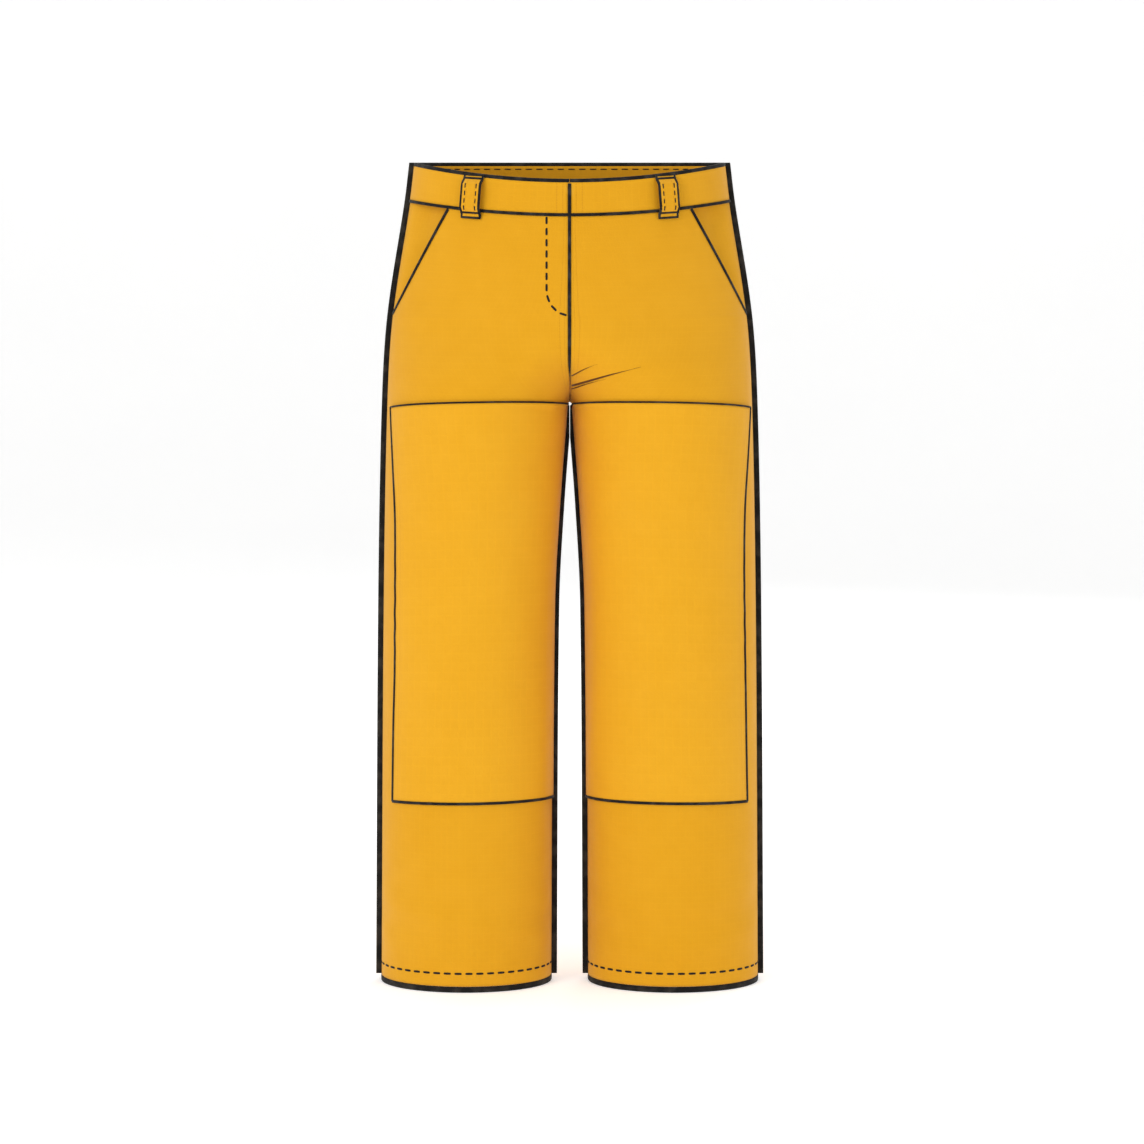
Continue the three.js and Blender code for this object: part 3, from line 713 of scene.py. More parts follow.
@dataclass(frozen=True)
class Cloth:
    """A woven finish.

    Attributes:
        name: the material's name.
        colour: the cloth's colour.
        shade: its darker colour: painted shade between the threads, the slow random fading and the stitch
            rows.
        rubbed: its colour where an edge is rubbed.
        thread: spacing of the threads in metres.
        grid: spacing of the heavier threads in metres.
        bump: strength of the relief.
        relief: height of the threads in metres.
        roughness: how rough it is.
        sheen: strength of the fuzz.
        wear: how much the edges are rubbed.
        seams: whether tonal stitches run beside the edges.
        weave_shade: how much painted shade darkens the colour between the threads.
    """

    name: str
    colour: tuple[float, float, float, float]
    shade: tuple[float, float, float, float]
    rubbed: tuple[float, float, float, float]
    thread: float = 0.0011
    grid: float = 0.008
    bump: float = 0.5
    relief: float = 0.00022
    roughness: float = 0.82
    sheen: float = 0.10
    wear: float = 0.5
    seams: bool = True
    weave_shade: float = 0.16

    def make(self) -> bpy.types.Material:
        """Make the material.

        Returns:
            The finished material.
        """
        material, nodes, shader = new_material(self.name)
        cloth = nodes.add("ShaderNodeUVMap", uv_map="cloth").outputs["UV"]
        edge = nodes.add("ShaderNodeAttribute", attribute_name="edge").outputs["Fac"]
        weave = WEAVE.use(nodes, cloth, thread=self.thread, grid=self.grid)
        wear = WEAR.use(nodes, cloth, edge=edge, amount=self.wear)
        # painted shade: the colour darkens towards shade in the hollows between the threads
        between = nodes.maths("SUBTRACT", 1.0, weave.outputs["Thread mask"])
        between_threads_shade = nodes.maths("MULTIPLY", between, self.weave_shade)
        faded = nodes.maths("MULTIPLY", wear.outputs["Mottle"], 0.13)
        colour = nodes.blend(nodes.maths("ADD", between_threads_shade, faded), self.colour, self.shade)
        colour = nodes.blend(wear.outputs["Rubbed"], colour, self.rubbed)
        height = weave.outputs["Height"]
        if self.seams:
            seam = SEAM.use(nodes, cloth, edge=edge)
            colour = nodes.blend(nodes.maths("MULTIPLY", seam.outputs["Stitch"], 0.5), colour, self.shade)
            height = nodes.maths("ADD", height, nodes.maths("MULTIPLY", seam.outputs["Stitch"], 1.2))
            height = nodes.maths("SUBTRACT", height, nodes.maths("MULTIPLY", seam.outputs["Pucker"], 2.2))
        nodes.wire(colour, shader.inputs["Base Color"])
        rough = nodes.maths("MULTIPLY_ADD", wear.outputs["Mottle"], 0.10, self.roughness - 0.05)
        nodes.wire(nodes.maths("SUBTRACT", rough, nodes.maths("MULTIPLY", wear.outputs["Rubbed"], 0.12)),
                   shader.inputs["Roughness"])
        bump = nodes.add("ShaderNodeBump")
        bump.inputs["Strength"].default_value = self.bump
        bump.inputs["Distance"].default_value = self.relief
        nodes.wire(height, bump.inputs["Height"])
        nodes.wire(bump.outputs["Normal"], shader.inputs["Normal"])
        shader.inputs["Sheen Weight"].default_value = self.sheen
        shader.inputs["Sheen Roughness"].default_value = 0.5
        shader.inputs["Specular IOR Level"].default_value = 0.25
        return material


@dataclass(frozen=True)
class StudMetal:
    """Dull plated metal of the press stud."""

    name: str = "stud_metal_finish"
    colour: tuple[float, float, float, float] = (0.42, 0.41, 0.39, 1.0)

    def make(self) -> bpy.types.Material:
        """Make the material.

        Returns:
            The finished material.
        """
        material, nodes, shader = new_material(self.name)
        place = nodes.add("ShaderNodeTexCoord").outputs["Object"]
        scuff = nodes.ramp(nodes.noise(place, 900.0, 4.0), 0.35, 0.7)
        nodes.wire(nodes.blend(scuff, self.colour, (0.22, 0.21, 0.19, 1.0)), shader.inputs["Base Color"])
        nodes.wire(nodes.maths("MULTIPLY_ADD", scuff, 0.3, 0.28), shader.inputs["Roughness"])
        shader.inputs["Metallic"].default_value = 1.0
        bump = nodes.add("ShaderNodeBump")
        bump.inputs["Strength"].default_value = 0.2
        bump.inputs["Distance"].default_value = 0.0001
        nodes.wire(scuff, bump.inputs["Height"])
        nodes.wire(bump.outputs["Normal"], shader.inputs["Normal"])
        return material


@dataclass(frozen=True)
class Plaster:
    """The pale matt floor and backdrop."""

    name: str = "studio_floor"
    colour: tuple[float, float, float, float] = (0.90, 0.90, 0.90, 1.0)
    light: tuple[float, float, float, float] = (0.93, 0.93, 0.925, 1.0)
    glow: float = 0.34

    def make(self) -> bpy.types.Material:
        """Make the material.

        Returns:
            The finished material.
        """
        material, nodes, shader = new_material(self.name)
        place = nodes.add("ShaderNodeTexCoord").outputs["Object"]
        cloud = nodes.noise(place, 1.5, 2.0)
        nodes.wire(nodes.blend(cloud, self.colour, self.light), shader.inputs["Base Color"])
        shader.inputs["Roughness"].default_value = 0.95
        shader.inputs["Specular IOR Level"].default_value = 0.1
        shader.inputs["Emission Color"].default_value = (1.0, 1.0, 1.0, 1.0)
        shader.inputs["Emission Strength"].default_value = self.glow
        return material


class Finish(Enum):
    """Every finish of the garment."""

    CANVAS = Cloth(
        "shell_canvas", linear(220, 158, 10), linear(194, 130, 6), linear(234, 186, 70), wear=0.35,
    )
    PATCH = Cloth(
        "patch_canvas", linear(225, 163, 14), linear(203, 138, 8), linear(238, 194, 84),
        thread=0.0013, grid=0.012, roughness=0.74, wear=0.45,
    )
    INSIDE = Cloth(
        "facing_canvas", linear(222, 157, 14), linear(192, 126, 8), linear(232, 184, 76), wear=0.2,
        seams=False,
    )
    # painted shadow: dark brown cloth standing for the shade in the crotch creases and the crotch notch
    CREASE = Cloth(
        "crease_shadow", linear(92, 54, 10), linear(70, 40, 6), linear(120, 76, 20), wear=0.1, seams=False,
    )
    BINDING = Cloth(
        "binding_twill", linear(16, 14, 12), linear(7, 6, 5), linear(62, 57, 50), thread=0.0008,
        grid=0.0032, roughness=0.86, wear=0.55, seams=False, relief=0.00016, sheen=0.05,
    )
    THREAD = Cloth(
        "stitch_thread", linear(18, 15, 12), linear(8, 7, 6), linear(50, 46, 40), thread=0.0006,
        grid=0.0018, roughness=0.7, wear=0.2, seams=False, sheen=0.05,
    )
    POCKETING = Cloth(
        "pocket_cloth", linear(158, 122, 56), linear(120, 90, 38), linear(180, 150, 90), thread=0.0007,
        roughness=0.9, wear=0.3, seams=False,
    )
    LINER = Cloth(
        "liner_quilting", linear(150, 146, 132), linear(110, 106, 94), linear(176, 172, 160),
        thread=0.0008, roughness=0.92, wear=0.2, seams=False, sheen=0.2,
    )
    TAPE = Cloth(
        "hook_and_loop_pile", linear(26, 24, 22), linear(9, 8, 7), linear(58, 54, 50), thread=0.0016,
        grid=0.0048, bump=1.0, relief=0.0006, roughness=0.95, sheen=0.3, wear=0.3, seams=False,
    )
    METAL = StudMetal()

    @property
    def material(self) -> bpy.types.Material:
        """The finish's material, made the first time that it is asked for."""
        return bpy.data.materials.get(self.value.name) or self.value.make()


# --- making pieces ------------------------------------------------------------------------------


@dataclass(frozen=True)
class FlyFold:
    """The line on which the fly folds back, for cloth that crosses it."""

    middle: Vector = field(default_factory=lambda: Vector((-0.0226, -0.122, 0.94)))
    across: Vector = field(default_factory=lambda: Vector((0.967, 0.0, 0.255)))
    half_turn: float = 0.005

    def join(self, piece: bpy.types.Object) -> None:
        """Let a piece bend across the fold."""
        start = self.middle - self.across * self.half_turn
        end = self.middle + self.across * self.half_turn
        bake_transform(piece, Ride.GARMENT.value, Ride.FLAP.value, start=tuple(start), end=tuple(end))


@dataclass
class Workbench:
    """Turns bmesh work into pieces of the garment."""

    fold: FlyFold = field(default_factory=FlyFold)

    def piece(
        self, work: bmesh.types.BMesh, name: str, finish: Finish, slot: Slot, ride: Ride = Ride.GARMENT,
        replaces: tuple[str, ...] = (), thickness: float = 0.0, bevel: float = 0.0,
    ) -> bpy.types.Object:
        """Finish a piece.

        Args:
            work: the mesh so far, which is freed.
            name: the piece's name.
            finish: its material.
            slot: the material slot; it is not used.
            ride: what it moves with.
            replaces: the CAD nodes that it stands for.
            thickness: the cloth's thickness, laid inward.
            bevel: width of the rounding at its edges.

        Returns:
            The piece.
        """
        mesh = bpy.data.meshes.new(name)
        work.to_mesh(mesh)
        work.free()
        mesh.polygons.foreach_set("use_smooth", [True] * len(mesh.polygons))
        made = bpy.data.objects.new(name, mesh)
        bpy.context.scene.collection.objects.link(made)
        mesh.materials.append(finish.material)
        if thickness:
            wall = made.modifiers.new("cloth", "SOLIDIFY")
            wall.thickness = thickness
            wall.offset = -1.0
        if bevel:
            rounding = made.modifiers.new("rounding", "BEVEL")
            rounding.width = bevel
            rounding.segments = 2
            rounding.limit_method = "ANGLE"
            rounding.angle_limit = math.radians(50)
        if ride is Ride.FOLD:
            self.fold.join(made)
        else:
            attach(made, ride.value)
        if replaces:
            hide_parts(*replaces)
        logger.info("made %s, %d faces", name, len(mesh.polygons))
        return made


Placing = Callable[[float, float, bool], tuple[Vector, Vector]]


@dataclass
class Sheet:
    """A length of cloth placed by its own width and length, each from 0 to 1.

    Attributes:
        place: (share of width, share of length, folded) to a point and its outward normal.
        columns: cells across.
        rows: cells along.
        ring: whether the two long edges meet.
    """

    place: Placing
    columns: int
    rows: int
    ring: bool = False

    def flat_size(self) -> tuple[float, float, float]:
        """Width, length and area of the cloth before it was folded.

        Returns:
            The widest row, the longest column and the area, in metres.
        """
        across, along = 28, 44
        grid = [
            [self.place(i / across, j / along, False)[0] for i in range(across + 1)]
            for j in range(along + 1)
        ]
        width = max(sum((row[i + 1] - row[i]).length for i in range(across)) for row in grid)
        length = max(
            sum((grid[j + 1][i] - grid[j][i]).length for j in range(along)) for i in range(across + 1)
        )
        area = 0.0
        for j in range(along):
            for i in range(across):
                corner, right, up, far = grid[j][i], grid[j][i + 1], grid[j + 1][i], grid[j + 1][i + 1]
                area += (right - corner).cross(up - corner).length / 2
                area += (right - far).cross(up - far).length / 2
        return width, length, area

    def mesh(self) -> bmesh.types.BMesh:
        """Make the cloth's outer face.

        Returns:
            The mesh, facing out, with its cloth map and its distance to an edge.
        """
        work = bmesh.new()
        cloth_map = work.loops.layers.uv.new("cloth")
        bmesh.ops.create_grid(work, x_segments=self.columns, y_segments=self.rows, size=0.5, calc_uvs=True)
        edge = work.verts.layers.float.new("edge")
        width, length, _ = self.flat_size()
        shares = {}
        for vertex in work.verts:
            u, v = vertex.co.x + 0.5, vertex.co.y + 0.5
            shares[vertex] = (u, v)
            vertex[edge] = 1.0 if self.ring else min(u, 1 - u) * width
        for face in work.faces:
            for loop in face.loops:
                u, v = shares[loop.vert]
                loop[cloth_map].uv = (u * width, v * length)
        normals = {}
        for vertex, (u, v) in shares.items():
            vertex.co, normals[vertex] = self.place(min(max(u, 0.0), 1.0), min(max(v, 0.0), 1.0), True)
        work.normal_update()
        facing = sum(face.normal.dot(normals[face.verts[0]]) for face in work.faces)
        if facing < 0:
            bmesh.ops.reverse_faces(work, faces=work.faces[:])
        if self.ring:
            bmesh.ops.remove_doubles(work, verts=work.verts[:], dist=1e-6)
        return work


Course = Callable[[float], tuple[Vector, Vector, Vector]]


@dataclass
class Strand:
    """A binding or piping: a rounded bar that runs along a course.

    Attributes:
        course: share of the length to the bar's middle, its sideways and its lifting direction.
        half_width: half its width, sideways.
        half_height: half its height.
        steps: cells along.
        square: 2 for an oval section, more for a squarer one.
        ring: whether its ends meet.
        taper: the share of its length over which each end thins to nothing.
        taper_start: whether the start thins too.
        around: cells round the section.
    """

    course: Course
    half_width: float
    half_height: float
    steps: int
    square: float = 2.0
    ring: bool = False
    taper: float = 0.0
    taper_start: bool = False
    around: int = 10

    def thin(self, along: float) -> float:
        """How much of the section is left at a share of the length."""
        if not self.taper:
            return 1.0
        left = ease(1 - along, 0.0, self.taper)
        if self.taper_start:
            left *= ease(along, 0.0, self.taper)
        return max(left, 0.08)

    def mesh(self, work: bmesh.types.BMesh | None = None) -> bmesh.types.BMesh:
        """Make the bar.

        Args:
            work: a mesh that it is added to.

        Returns:
            The mesh.
        """
        own = bmesh.new()
        cloth_map = own.loops.layers.uv.new("cloth")
        bmesh.ops.create_grid(own, x_segments=self.steps, y_segments=self.around, size=0.5, calc_uvs=True)
        edge = own.verts.layers.float.new("edge")
        length = sum(
            (self.course((i + 1) / 16)[0] - self.course(i / 16)[0]).length for i in range(16)
        )
        girth = 2 * (self.half_width + self.half_height)
        for face in own.faces:
            for loop in face.loops:
                loop[cloth_map].uv = ((loop.vert.co.y + 0.5) * girth, (loop.vert.co.x + 0.5) * length)
        power = 2 / self.square
        for vertex in own.verts:
            along, turn = min(max(vertex.co.x + 0.5, 0), 1), (vertex.co.y + 0.5) * 2 * math.pi
            centre, sideways, lift = self.course(along)
            flat, tall = math.cos(turn), math.sin(turn)
            wide = math.copysign(abs(flat) ** power, flat) * self.half_width * self.thin(along)
            high = math.copysign(abs(tall) ** power, tall) * self.half_height * self.thin(along)
            vertex.co = centre + sideways * wide + lift * high
            vertex[edge] = max(self.half_width - abs(wide), 0.0)
        bmesh.ops.remove_doubles(own, verts=own.verts[:], dist=1e-7)
        if not self.ring:
            rims = [rim for rim in own.edges if rim.is_boundary]
            bmesh.ops.holes_fill(own, edges=rims, sides=0)
        bmesh.ops.recalc_face_normals(own, faces=own.faces[:])
        if own.calc_volume(signed=True) < 0:
            bmesh.ops.reverse_faces(own, faces=own.faces[:])
        if work is None:
            return own
        part = bpy.data.meshes.new("part")
        own.to_mesh(part)
        own.free()
        work.from_mesh(part)
        bpy.data.meshes.remove(part)
        return work


@dataclass(frozen=True)
class Stitch:
    """One kind of visible stitch, in metres."""

    length: float = 0.0092
    period: float = 0.0138
    width: float = 0.0029
    height: float = 0.0012
    start: float = 0.0

    def sew(self, work: bmesh.types.BMesh, course: Course, sunk: float = 0.35) -> None:
        """Sew a row of stitches along a course.

        Args:
            work: the mesh that they are added to.
            course: share of the length to a point on the cloth, sideways and lift.
            sunk: the share of a stitch's height that lies in the cloth.
        """
        marks = 240
        run = [0.0]
        points = [course(i / marks)[0] for i in range(marks + 1)]
        for before, after in zip(points, points[1:]):
            run.append(run[-1] + (after - before).length)
        count = max(int((run[-1] - self.start + self.period - self.length) / self.period), 1)
        for number in range(count):
            middle = self.start + self.length / 2 + number * self.period
            index = max(i for i, length in enumerate(run) if length <= middle)
            after = min(index + 1, marks)
            share = (middle - run[index]) / max(run[after] - run[index], 1e-9)
            centre, sideways, lift = course((index + min(share, 1.0)) / marks)
            along = sideways.cross(lift).normalized()
            frame_turn = Matrix((along, sideways, lift)).transposed().to_4x4()
            lifted = centre + lift * self.height * (0.5 - sunk)
            made = bmesh.ops.create_uvsphere(work, u_segments=8, v_segments=6, radius=0.5)["verts"]
            for vertex in made:
                x, y, z = vertex.co
                end = math.copysign((self.length - self.width) / 2, z) if abs(z) > 1e-4 else 0.0
                place = Vector((z * self.width + end, x * self.width, y * self.height))
                vertex.co = lifted + (frame_turn @ place)


def stitches(stitch: Stitch, courses: list[Course], sunk: float = 0.35) -> bmesh.types.BMesh:
    """Sew rows of stitches into one mesh.

    Args:
        stitch: the kind of stitch.
        courses: the rows.
        sunk: the share of a stitch's height that lies in the cloth.

    Returns:
        The mesh.
    """
    work = bmesh.new()
    work.loops.layers.uv.new("cloth")
    work.verts.layers.float.new("edge")
    for course in courses:
        stitch.sew(work, course, sunk)
    edge = work.verts.layers.float["edge"]
    cloth_map = work.loops.layers.uv["cloth"]
    for vertex in work.verts:
        vertex[edge] = 0.01
    for face in work.faces:
        for loop in face.loops:
            place = loop.vert.co
            loop[cloth_map].uv = (place.x + place.y, place.z)
    bmesh.ops.recalc_face_normals(work, faces=work.faces[:])
    return work


class Tailor:
    """Places layers, pipings and stitches on the garment's surface."""

    def __init__(self, surface: GarmentSurface, bench: Workbench) -> None:
        """Hold the surface and the workbench."""
        self.surface = surface
        self.cut = surface.cut
        self.bench = bench

    def layer(
        self, half: Half, face: Face, edges: tuple[Callable[[float], float], Callable[[float], float]],
        ends: tuple[float, float], offset: Number, arches: tuple[float, float] = (0.0, 0.0),
    ) -> Placing:
        """How a layer is placed.

        Args:
            half: the wearer's side.
            face: front or back.
            edges: its two long edges, as angles against the level.
            ends: the levels of its foot and its head.
            offset: its depth, a number or a function of angle and level.
            arches: how much higher its foot and its head are at the middle.

        Returns:
            The placing of a sheet.
        """

        def place(u: float, v: float, folded: bool) -> tuple[Vector, Vector]:
            """The point and normal at a share of the width and of the length."""
            bow = 1 - (2 * u - 1) ** 2
            level = mix(ends[0] + arches[0] * bow, ends[1] + arches[1] * bow, v)
            angle = mix(edges[0](level), edges[1](level), u)
            depth = offset(angle, level) if callable(offset) else offset
            return self.surface.spot(half, face, angle, level, depth, folded)

        return place

    def course(
        self, half: Half, face: Face, trail: Callable[[float], tuple[float, float]], offset: Number,
    ) -> Course:
        """A course that follows a trail on the surface.

        Args:
            half: the wearer's side.
            face: front or back.
            trail: share of the length to an angle and a level.
            offset: its depth.

        Returns:
            The course.
        """

        def follow(along: float) -> tuple[Vector, Vector, Vector]:
            """The point, sideways and lift at a share of the length."""
            angle, level = trail(along)
            depth = offset(angle, level) if callable(offset) else offset
            point, normal = self.surface.spot(half, face, angle, level, depth)
            before = self.surface.lie(half, face, *trail(max(along - 0.004, 0.0)))[0]
            after = self.surface.lie(half, face, *trail(min(along + 0.004, 1.0)))[0]
            ahead = (after - before).normalized()
            sideways = normal.cross(ahead).normalized()
            return point, sideways, ahead.cross(sideways).normalized()

        return follow

    def sheet(
        self, name: str, sheet: Sheet, finish: Finish, slot: Slot, thickness: float,
        replaces: tuple[str, ...], ride: Ride = Ride.GARMENT, rests_on: tuple[str, ...] = (),
        with_pieces: tuple[bpy.types.Object, ...] = (), held: str = "hung",
    ) -> bpy.types.Object:
        """Make a sheet of cloth.

        Args:
            name: the piece's name.
            sheet: its placing and cells.
            finish: its material.
            slot: the material slot; it is not used.
            thickness: the cloth's thickness.
            replaces: the CAD nodes that it stands for.
            ride: what it moves with.
            rests_on: what it hangs from or lies on; it is not used.
            with_pieces: trim and stitches on it; it is not used.
            held: how it is held; it is not used.

        Returns:
            The piece.
        """
        width, length, area = sheet.flat_size()
        made = self.bench.piece(sheet.mesh(), name, finish, slot, ride, replaces, thickness)
        area = min(max(area, 0.301 * width * length), width * length)
        logger.info("sheet %s: %.3f x %.3f m, area %.4f", name, width, length, area)
        return made

    def piping(
        self, name: str, courses: list[tuple[Course, float]], width: float, ride: Ride = Ride.GARMENT,
        height: float = 0.0006, finish: Finish = Finish.BINDING, taper: float = 0.0,
    ) -> bpy.types.Object:
        """Make pipings as one piece.

        Args:
            name: the piece's name.
            courses: each course and its rough length.
            width: the piping's width.
            ride: what it moves with.
            height: half its height.
            finish: its material.
            taper: the share over which the far end thins.

        Returns:
            The piece.
        """
        work = bmesh.new()
        for course, length in courses:
            steps = max(int(length / 0.005), 6)
            Strand(course, width / 2, height, steps, square=2.6, taper=taper).mesh(work)
        return self.bench.piece(work, name, finish, Slot.BINDING, ride)


# --- sub-assemblies --------------------------------------------------------------------------------


@dataclass
class Shell:
    """The four panels of outer cloth."""

    tailor: Tailor
    columns: int = 84
    rows: int = 250
    seam_piping: float = 0.0040
    seam_start: float = 0.0002
    seam_lift: float = 0.0009
    seam_end: float = 0.030
    front_head_short: float = 0.006
    back_head_short: float = 0.004
    front_run: float = 0.30
    back_run: float = 0.24
    seam_taper: float = 0.10
    step_below: float = 0.004
    step_above: float = 0.001
    shaded_gusset_head: float = 0.033
    shaded_gusset_foot: float = 0.002
    shaded_gusset_depth: float = -0.0013
    shaded_gusset_start: float = 0.3
    shaded_gusset_width: float = 0.012
    shaded_gusset_half_thick: float = 0.0004

    def build(self) -> None:
        """Make the panels and the seams between them."""
        for half in Half:
            self.front(half)
            self.back(half)
        self.centre_seams()
        self.shaded_gussets()

    def front(self, half: Half) -> None:
        """Make one front panel; the right one runs on into the fly flap."""
        surface, cut = self.tailor.surface, self.tailor.cut
        right = half is Half.RIGHT
        inner = surface.flap_edge(cut.fold_proud + cut.cloth) if right else surface.inner_edge
        place = self.tailor.layer(
            half, Face.FRONT, (inner, surface.mouth_edge),
            (cut.panel_foot, cut.waist_seam - cut.gap / 2), 0.0,
        )
        nodes = ("front_panel_right", "fly_flap_panel") if right else ("front_panel_left",)
        self.tailor.sheet(
            f"shell_front_{half.word}", Sheet(place, self.columns, self.rows), Finish.CANVAS, Slot.SHELL,
            cut.cloth, nodes, Ride.FOLD if right else Ride.GARMENT, (f"shell_back_{half.word}",),
        )

    def back(self, half: Half) -> None:
        """Make one back panel."""
        surface, cut = self.tailor.surface, self.tailor.cut
        place = self.tailor.layer(
            half, Face.BACK, (surface.inner_edge, surface.side_edge),
            (cut.panel_foot, cut.waist_seam - cut.gap / 2), 0.0,
        )
        self.tailor.sheet(
            f"shell_back_{half.word}", Sheet(place, self.columns, self.rows), Finish.CANVAS, Slot.SHELL,
            cut.cloth, (f"back_panel_{half.word}",), rests_on=("waistband_cloth_back",),
        )

    def centre_seams(self) -> None:
        """Make the dark pipings down the centre front and centre back."""
        tailor, cut = self.tailor, self.tailor.cut
        surface = tailor.surface

        def trail(along: float) -> tuple[float, float]:
            """Down the centre from the waist edge to the crotch."""
            level = mix(cut.outseam - self.front_head_short, cut.inseam + self.seam_end, along)
            return surface.angle_at(self.seam_start, level), level

        def proud(_: float, level: float) -> float:
            """Clear of the waistband as well as of the panels."""
            onto_band = ease(level, cut.waist_seam - self.step_below, cut.waist_seam + self.step_above)
            return self.seam_lift + cut.band_proud * onto_band

        front = tailor.course(Half.RIGHT, Face.FRONT, trail, proud)
        tailor.piping("centre_front_piping", [(front, self.front_run)], self.seam_piping, Ride.FOLD,
                      taper=self.seam_taper)

        def back_trail(along: float) -> tuple[float, float]:
            """Down the centre back from the waist seam to the crotch."""
            level = mix(cut.waist_seam - self.back_head_short, cut.inseam + self.seam_end, along)
            return surface.angle_at(self.seam_start, level), level

        back = tailor.course(Half.RIGHT, Face.BACK, back_trail, self.seam_lift)
        tailor.piping("centre_back_piping", [(back, self.back_run)], self.seam_piping, taper=self.seam_taper)

    def shaded_gussets(self) -> None:
        """Close the narrow wedge in front and behind where the inseams part, with a dark strip that is
        painted shade in the crotch notch.
        """
        tailor, cut = self.tailor, self.tailor.cut
        surface = tailor.surface
        head, foot = cut.inseam + self.shaded_gusset_head, cut.inseam + self.shaded_gusset_foot
        for face in Face:

            def course(along: float, face: Face = face) -> tuple[Vector, Vector, Vector]:
                """Down the middle, with the growing width folded into the sideways direction."""
                level = mix(head, foot, along)
                angle = surface.angle_at(self.seam_start, level)
                point, normal = surface.spot(Half.RIGHT, face, angle, level, self.shaded_gusset_depth)
                sideways = Vector((mix(self.shaded_gusset_start, 1.0, along), 0.0, 0.0))
                return Vector((0.0, point.y, level)), sideways, normal

            strand = Strand(course, self.shaded_gusset_width / 2, self.shaded_gusset_half_thick, 24, square=3.0, around=10)
            # painted shade: the wedge is filled with the dark shadow colour of the crotch notch
            tailor.bench.piece(strand.mesh(), f"crotch_shaded_gusset_{face.word}", Finish.CREASE, Slot.SHELL)


@dataclass
class CrotchCreaseShadows:
    """Three short raised strips in a dark shadow colour, painted shadow of the creases that run up from the
    crotch over the wearer's left thigh.
    """

    tailor: Tailor
    foot: float = 0.0022
    bow: float = 0.0012
    lift: float = 0.00045
    height: float = 0.0004
    long_width: float = 0.0036
    thin_width: float = 0.0016
    taper: float = 0.9

    def line(self, level: float, end_across: float, end_level: float) -> Course:
        """The shadow strip of a crease from the crotch seam.

        Args:
            level: where it starts.
            end_across: how far from the middle it ends.
            end_level: the level of its end.

        Returns:
            Its course.
        """
        surface = self.tailor.surface

        def trail(along: float) -> tuple[float, float]:
            """Along the crease, bowed a little."""
            here = mix(level, end_level, along) + self.bow * math.sin(math.pi * along)
            return surface.angle_at(mix(self.foot, end_across, along), here), here

        return self.tailor.course(Half.LEFT, Face.FRONT, trail, self.lift)

    def build(self) -> None:
        """Make the long crease's shadow strip and the two thin ones beside it."""
        # painted shadow: the strips are dark so that they read as the shade in the creases
        long_crease_shadow = self.line(0.7675, 0.088, 0.7935)
        self.tailor.piping("crotch_crease_shadow_long", [(long_crease_shadow, 0.1)], self.long_width, height=self.height,
                           finish=Finish.CREASE, taper=self.taper)
        thin = [(self.line(0.7805, 0.035, 0.797), 0.05), (self.line(0.7625, 0.046, 0.778), 0.06)]
        self.tailor.piping("crotch_crease_shadows_thin", thin, self.thin_width, height=self.height,
                           finish=Finish.CREASE, taper=self.taper)


@dataclass
class LegPatches:
    """The reinforcing patches over the front of each leg."""

    tailor: Tailor
    foot: float = 0.239
    seam: float = 0.003
    lift: float = 0.0006
    cloth: float = 0.0015
    head_arch: float = 0.011
    foot_arch: float = 0.004
    foot_reach: float = 0.827
    knee_reach: float = 0.815
    thigh_reach: float = 0.825
    head_reach: float = 0.89
    piping: float = 0.0036
    head_piping: float = 0.0022
    inner_room: float = 0.0015
    piping_lift: float = 0.0004
    step: float = 0.01
    side_run: float = 0.5
    across_run: float = 0.22

    def build(self) -> None:
        """Make both patches with their edges."""
        cut, surface = self.tailor.cut, self.tailor.surface
        reach = Profile((
            (self.foot, self.foot_reach), (cut.knee, self.knee_reach), (cut.mid_thigh, self.thigh_reach),
            (cut.inseam, self.head_reach),
        ))

        def inner(level: float) -> float:
            """Beside the inseam binding."""
            return math.pi - (self.inner_room + self.seam) / surface.row(level)[3]

        def outer(level: float) -> float:
            """Short of the side seam."""
            return math.pi * (1 - reach.at(level))

        head = cut.inseam - self.seam
        top = self.lift + self.cloth
        for half in Half:
            place = self.tailor.layer(
                half, Face.FRONT, (inner, outer), (self.foot, head), top, (self.foot_arch, self.head_arch),
            )

            def edge_course(
                u: tuple[float, float], v: tuple[float, float], placed: Placing = place,
            ) -> Course:
                """A course along one edge of the patch, in shares of its width and length."""

                def follow(along: float) -> tuple[Vector, Vector, Vector]:
                    """The point, sideways and lift at a share of the edge."""
                    back, on = max(along - self.step, 0), min(along + self.step, 1)
                    point, normal = placed(mix(*u, along), mix(*v, along), True)
                    before = placed(mix(*u, back), mix(*v, back), True)[0]
                    after = placed(mix(*u, on), mix(*v, on), True)[0]
                    ahead = (after - before).normalized()
                    sideways = normal.cross(ahead).normalized()
                    lift = ahead.cross(sideways).normalized()
                    return point + lift * self.piping_lift, sideways, lift

                return follow

            side = self.tailor.piping(
                f"patch_edge_{half.word}",
                [(edge_course((1, 1), (0, 1)), self.side_run),
                 (edge_course((0, 1), (0, 0)), self.across_run)], self.piping,
            )
            top_edge = self.tailor.piping(
                f"patch_head_edge_{half.word}", [(edge_course((0, 1), (1, 1)), self.across_run)],
                self.head_piping,
            )
            self.tailor.sheet(
                f"patch_cloth_{half.word}", Sheet(place, 60, 130), Finish.PATCH, Slot.PATCH, self.cloth,
                (f"leg_patch_{half.word}",), rests_on=(f"shell_front_{half.word}",), held="laid",
                with_pieces=(side, top_edge),
            )


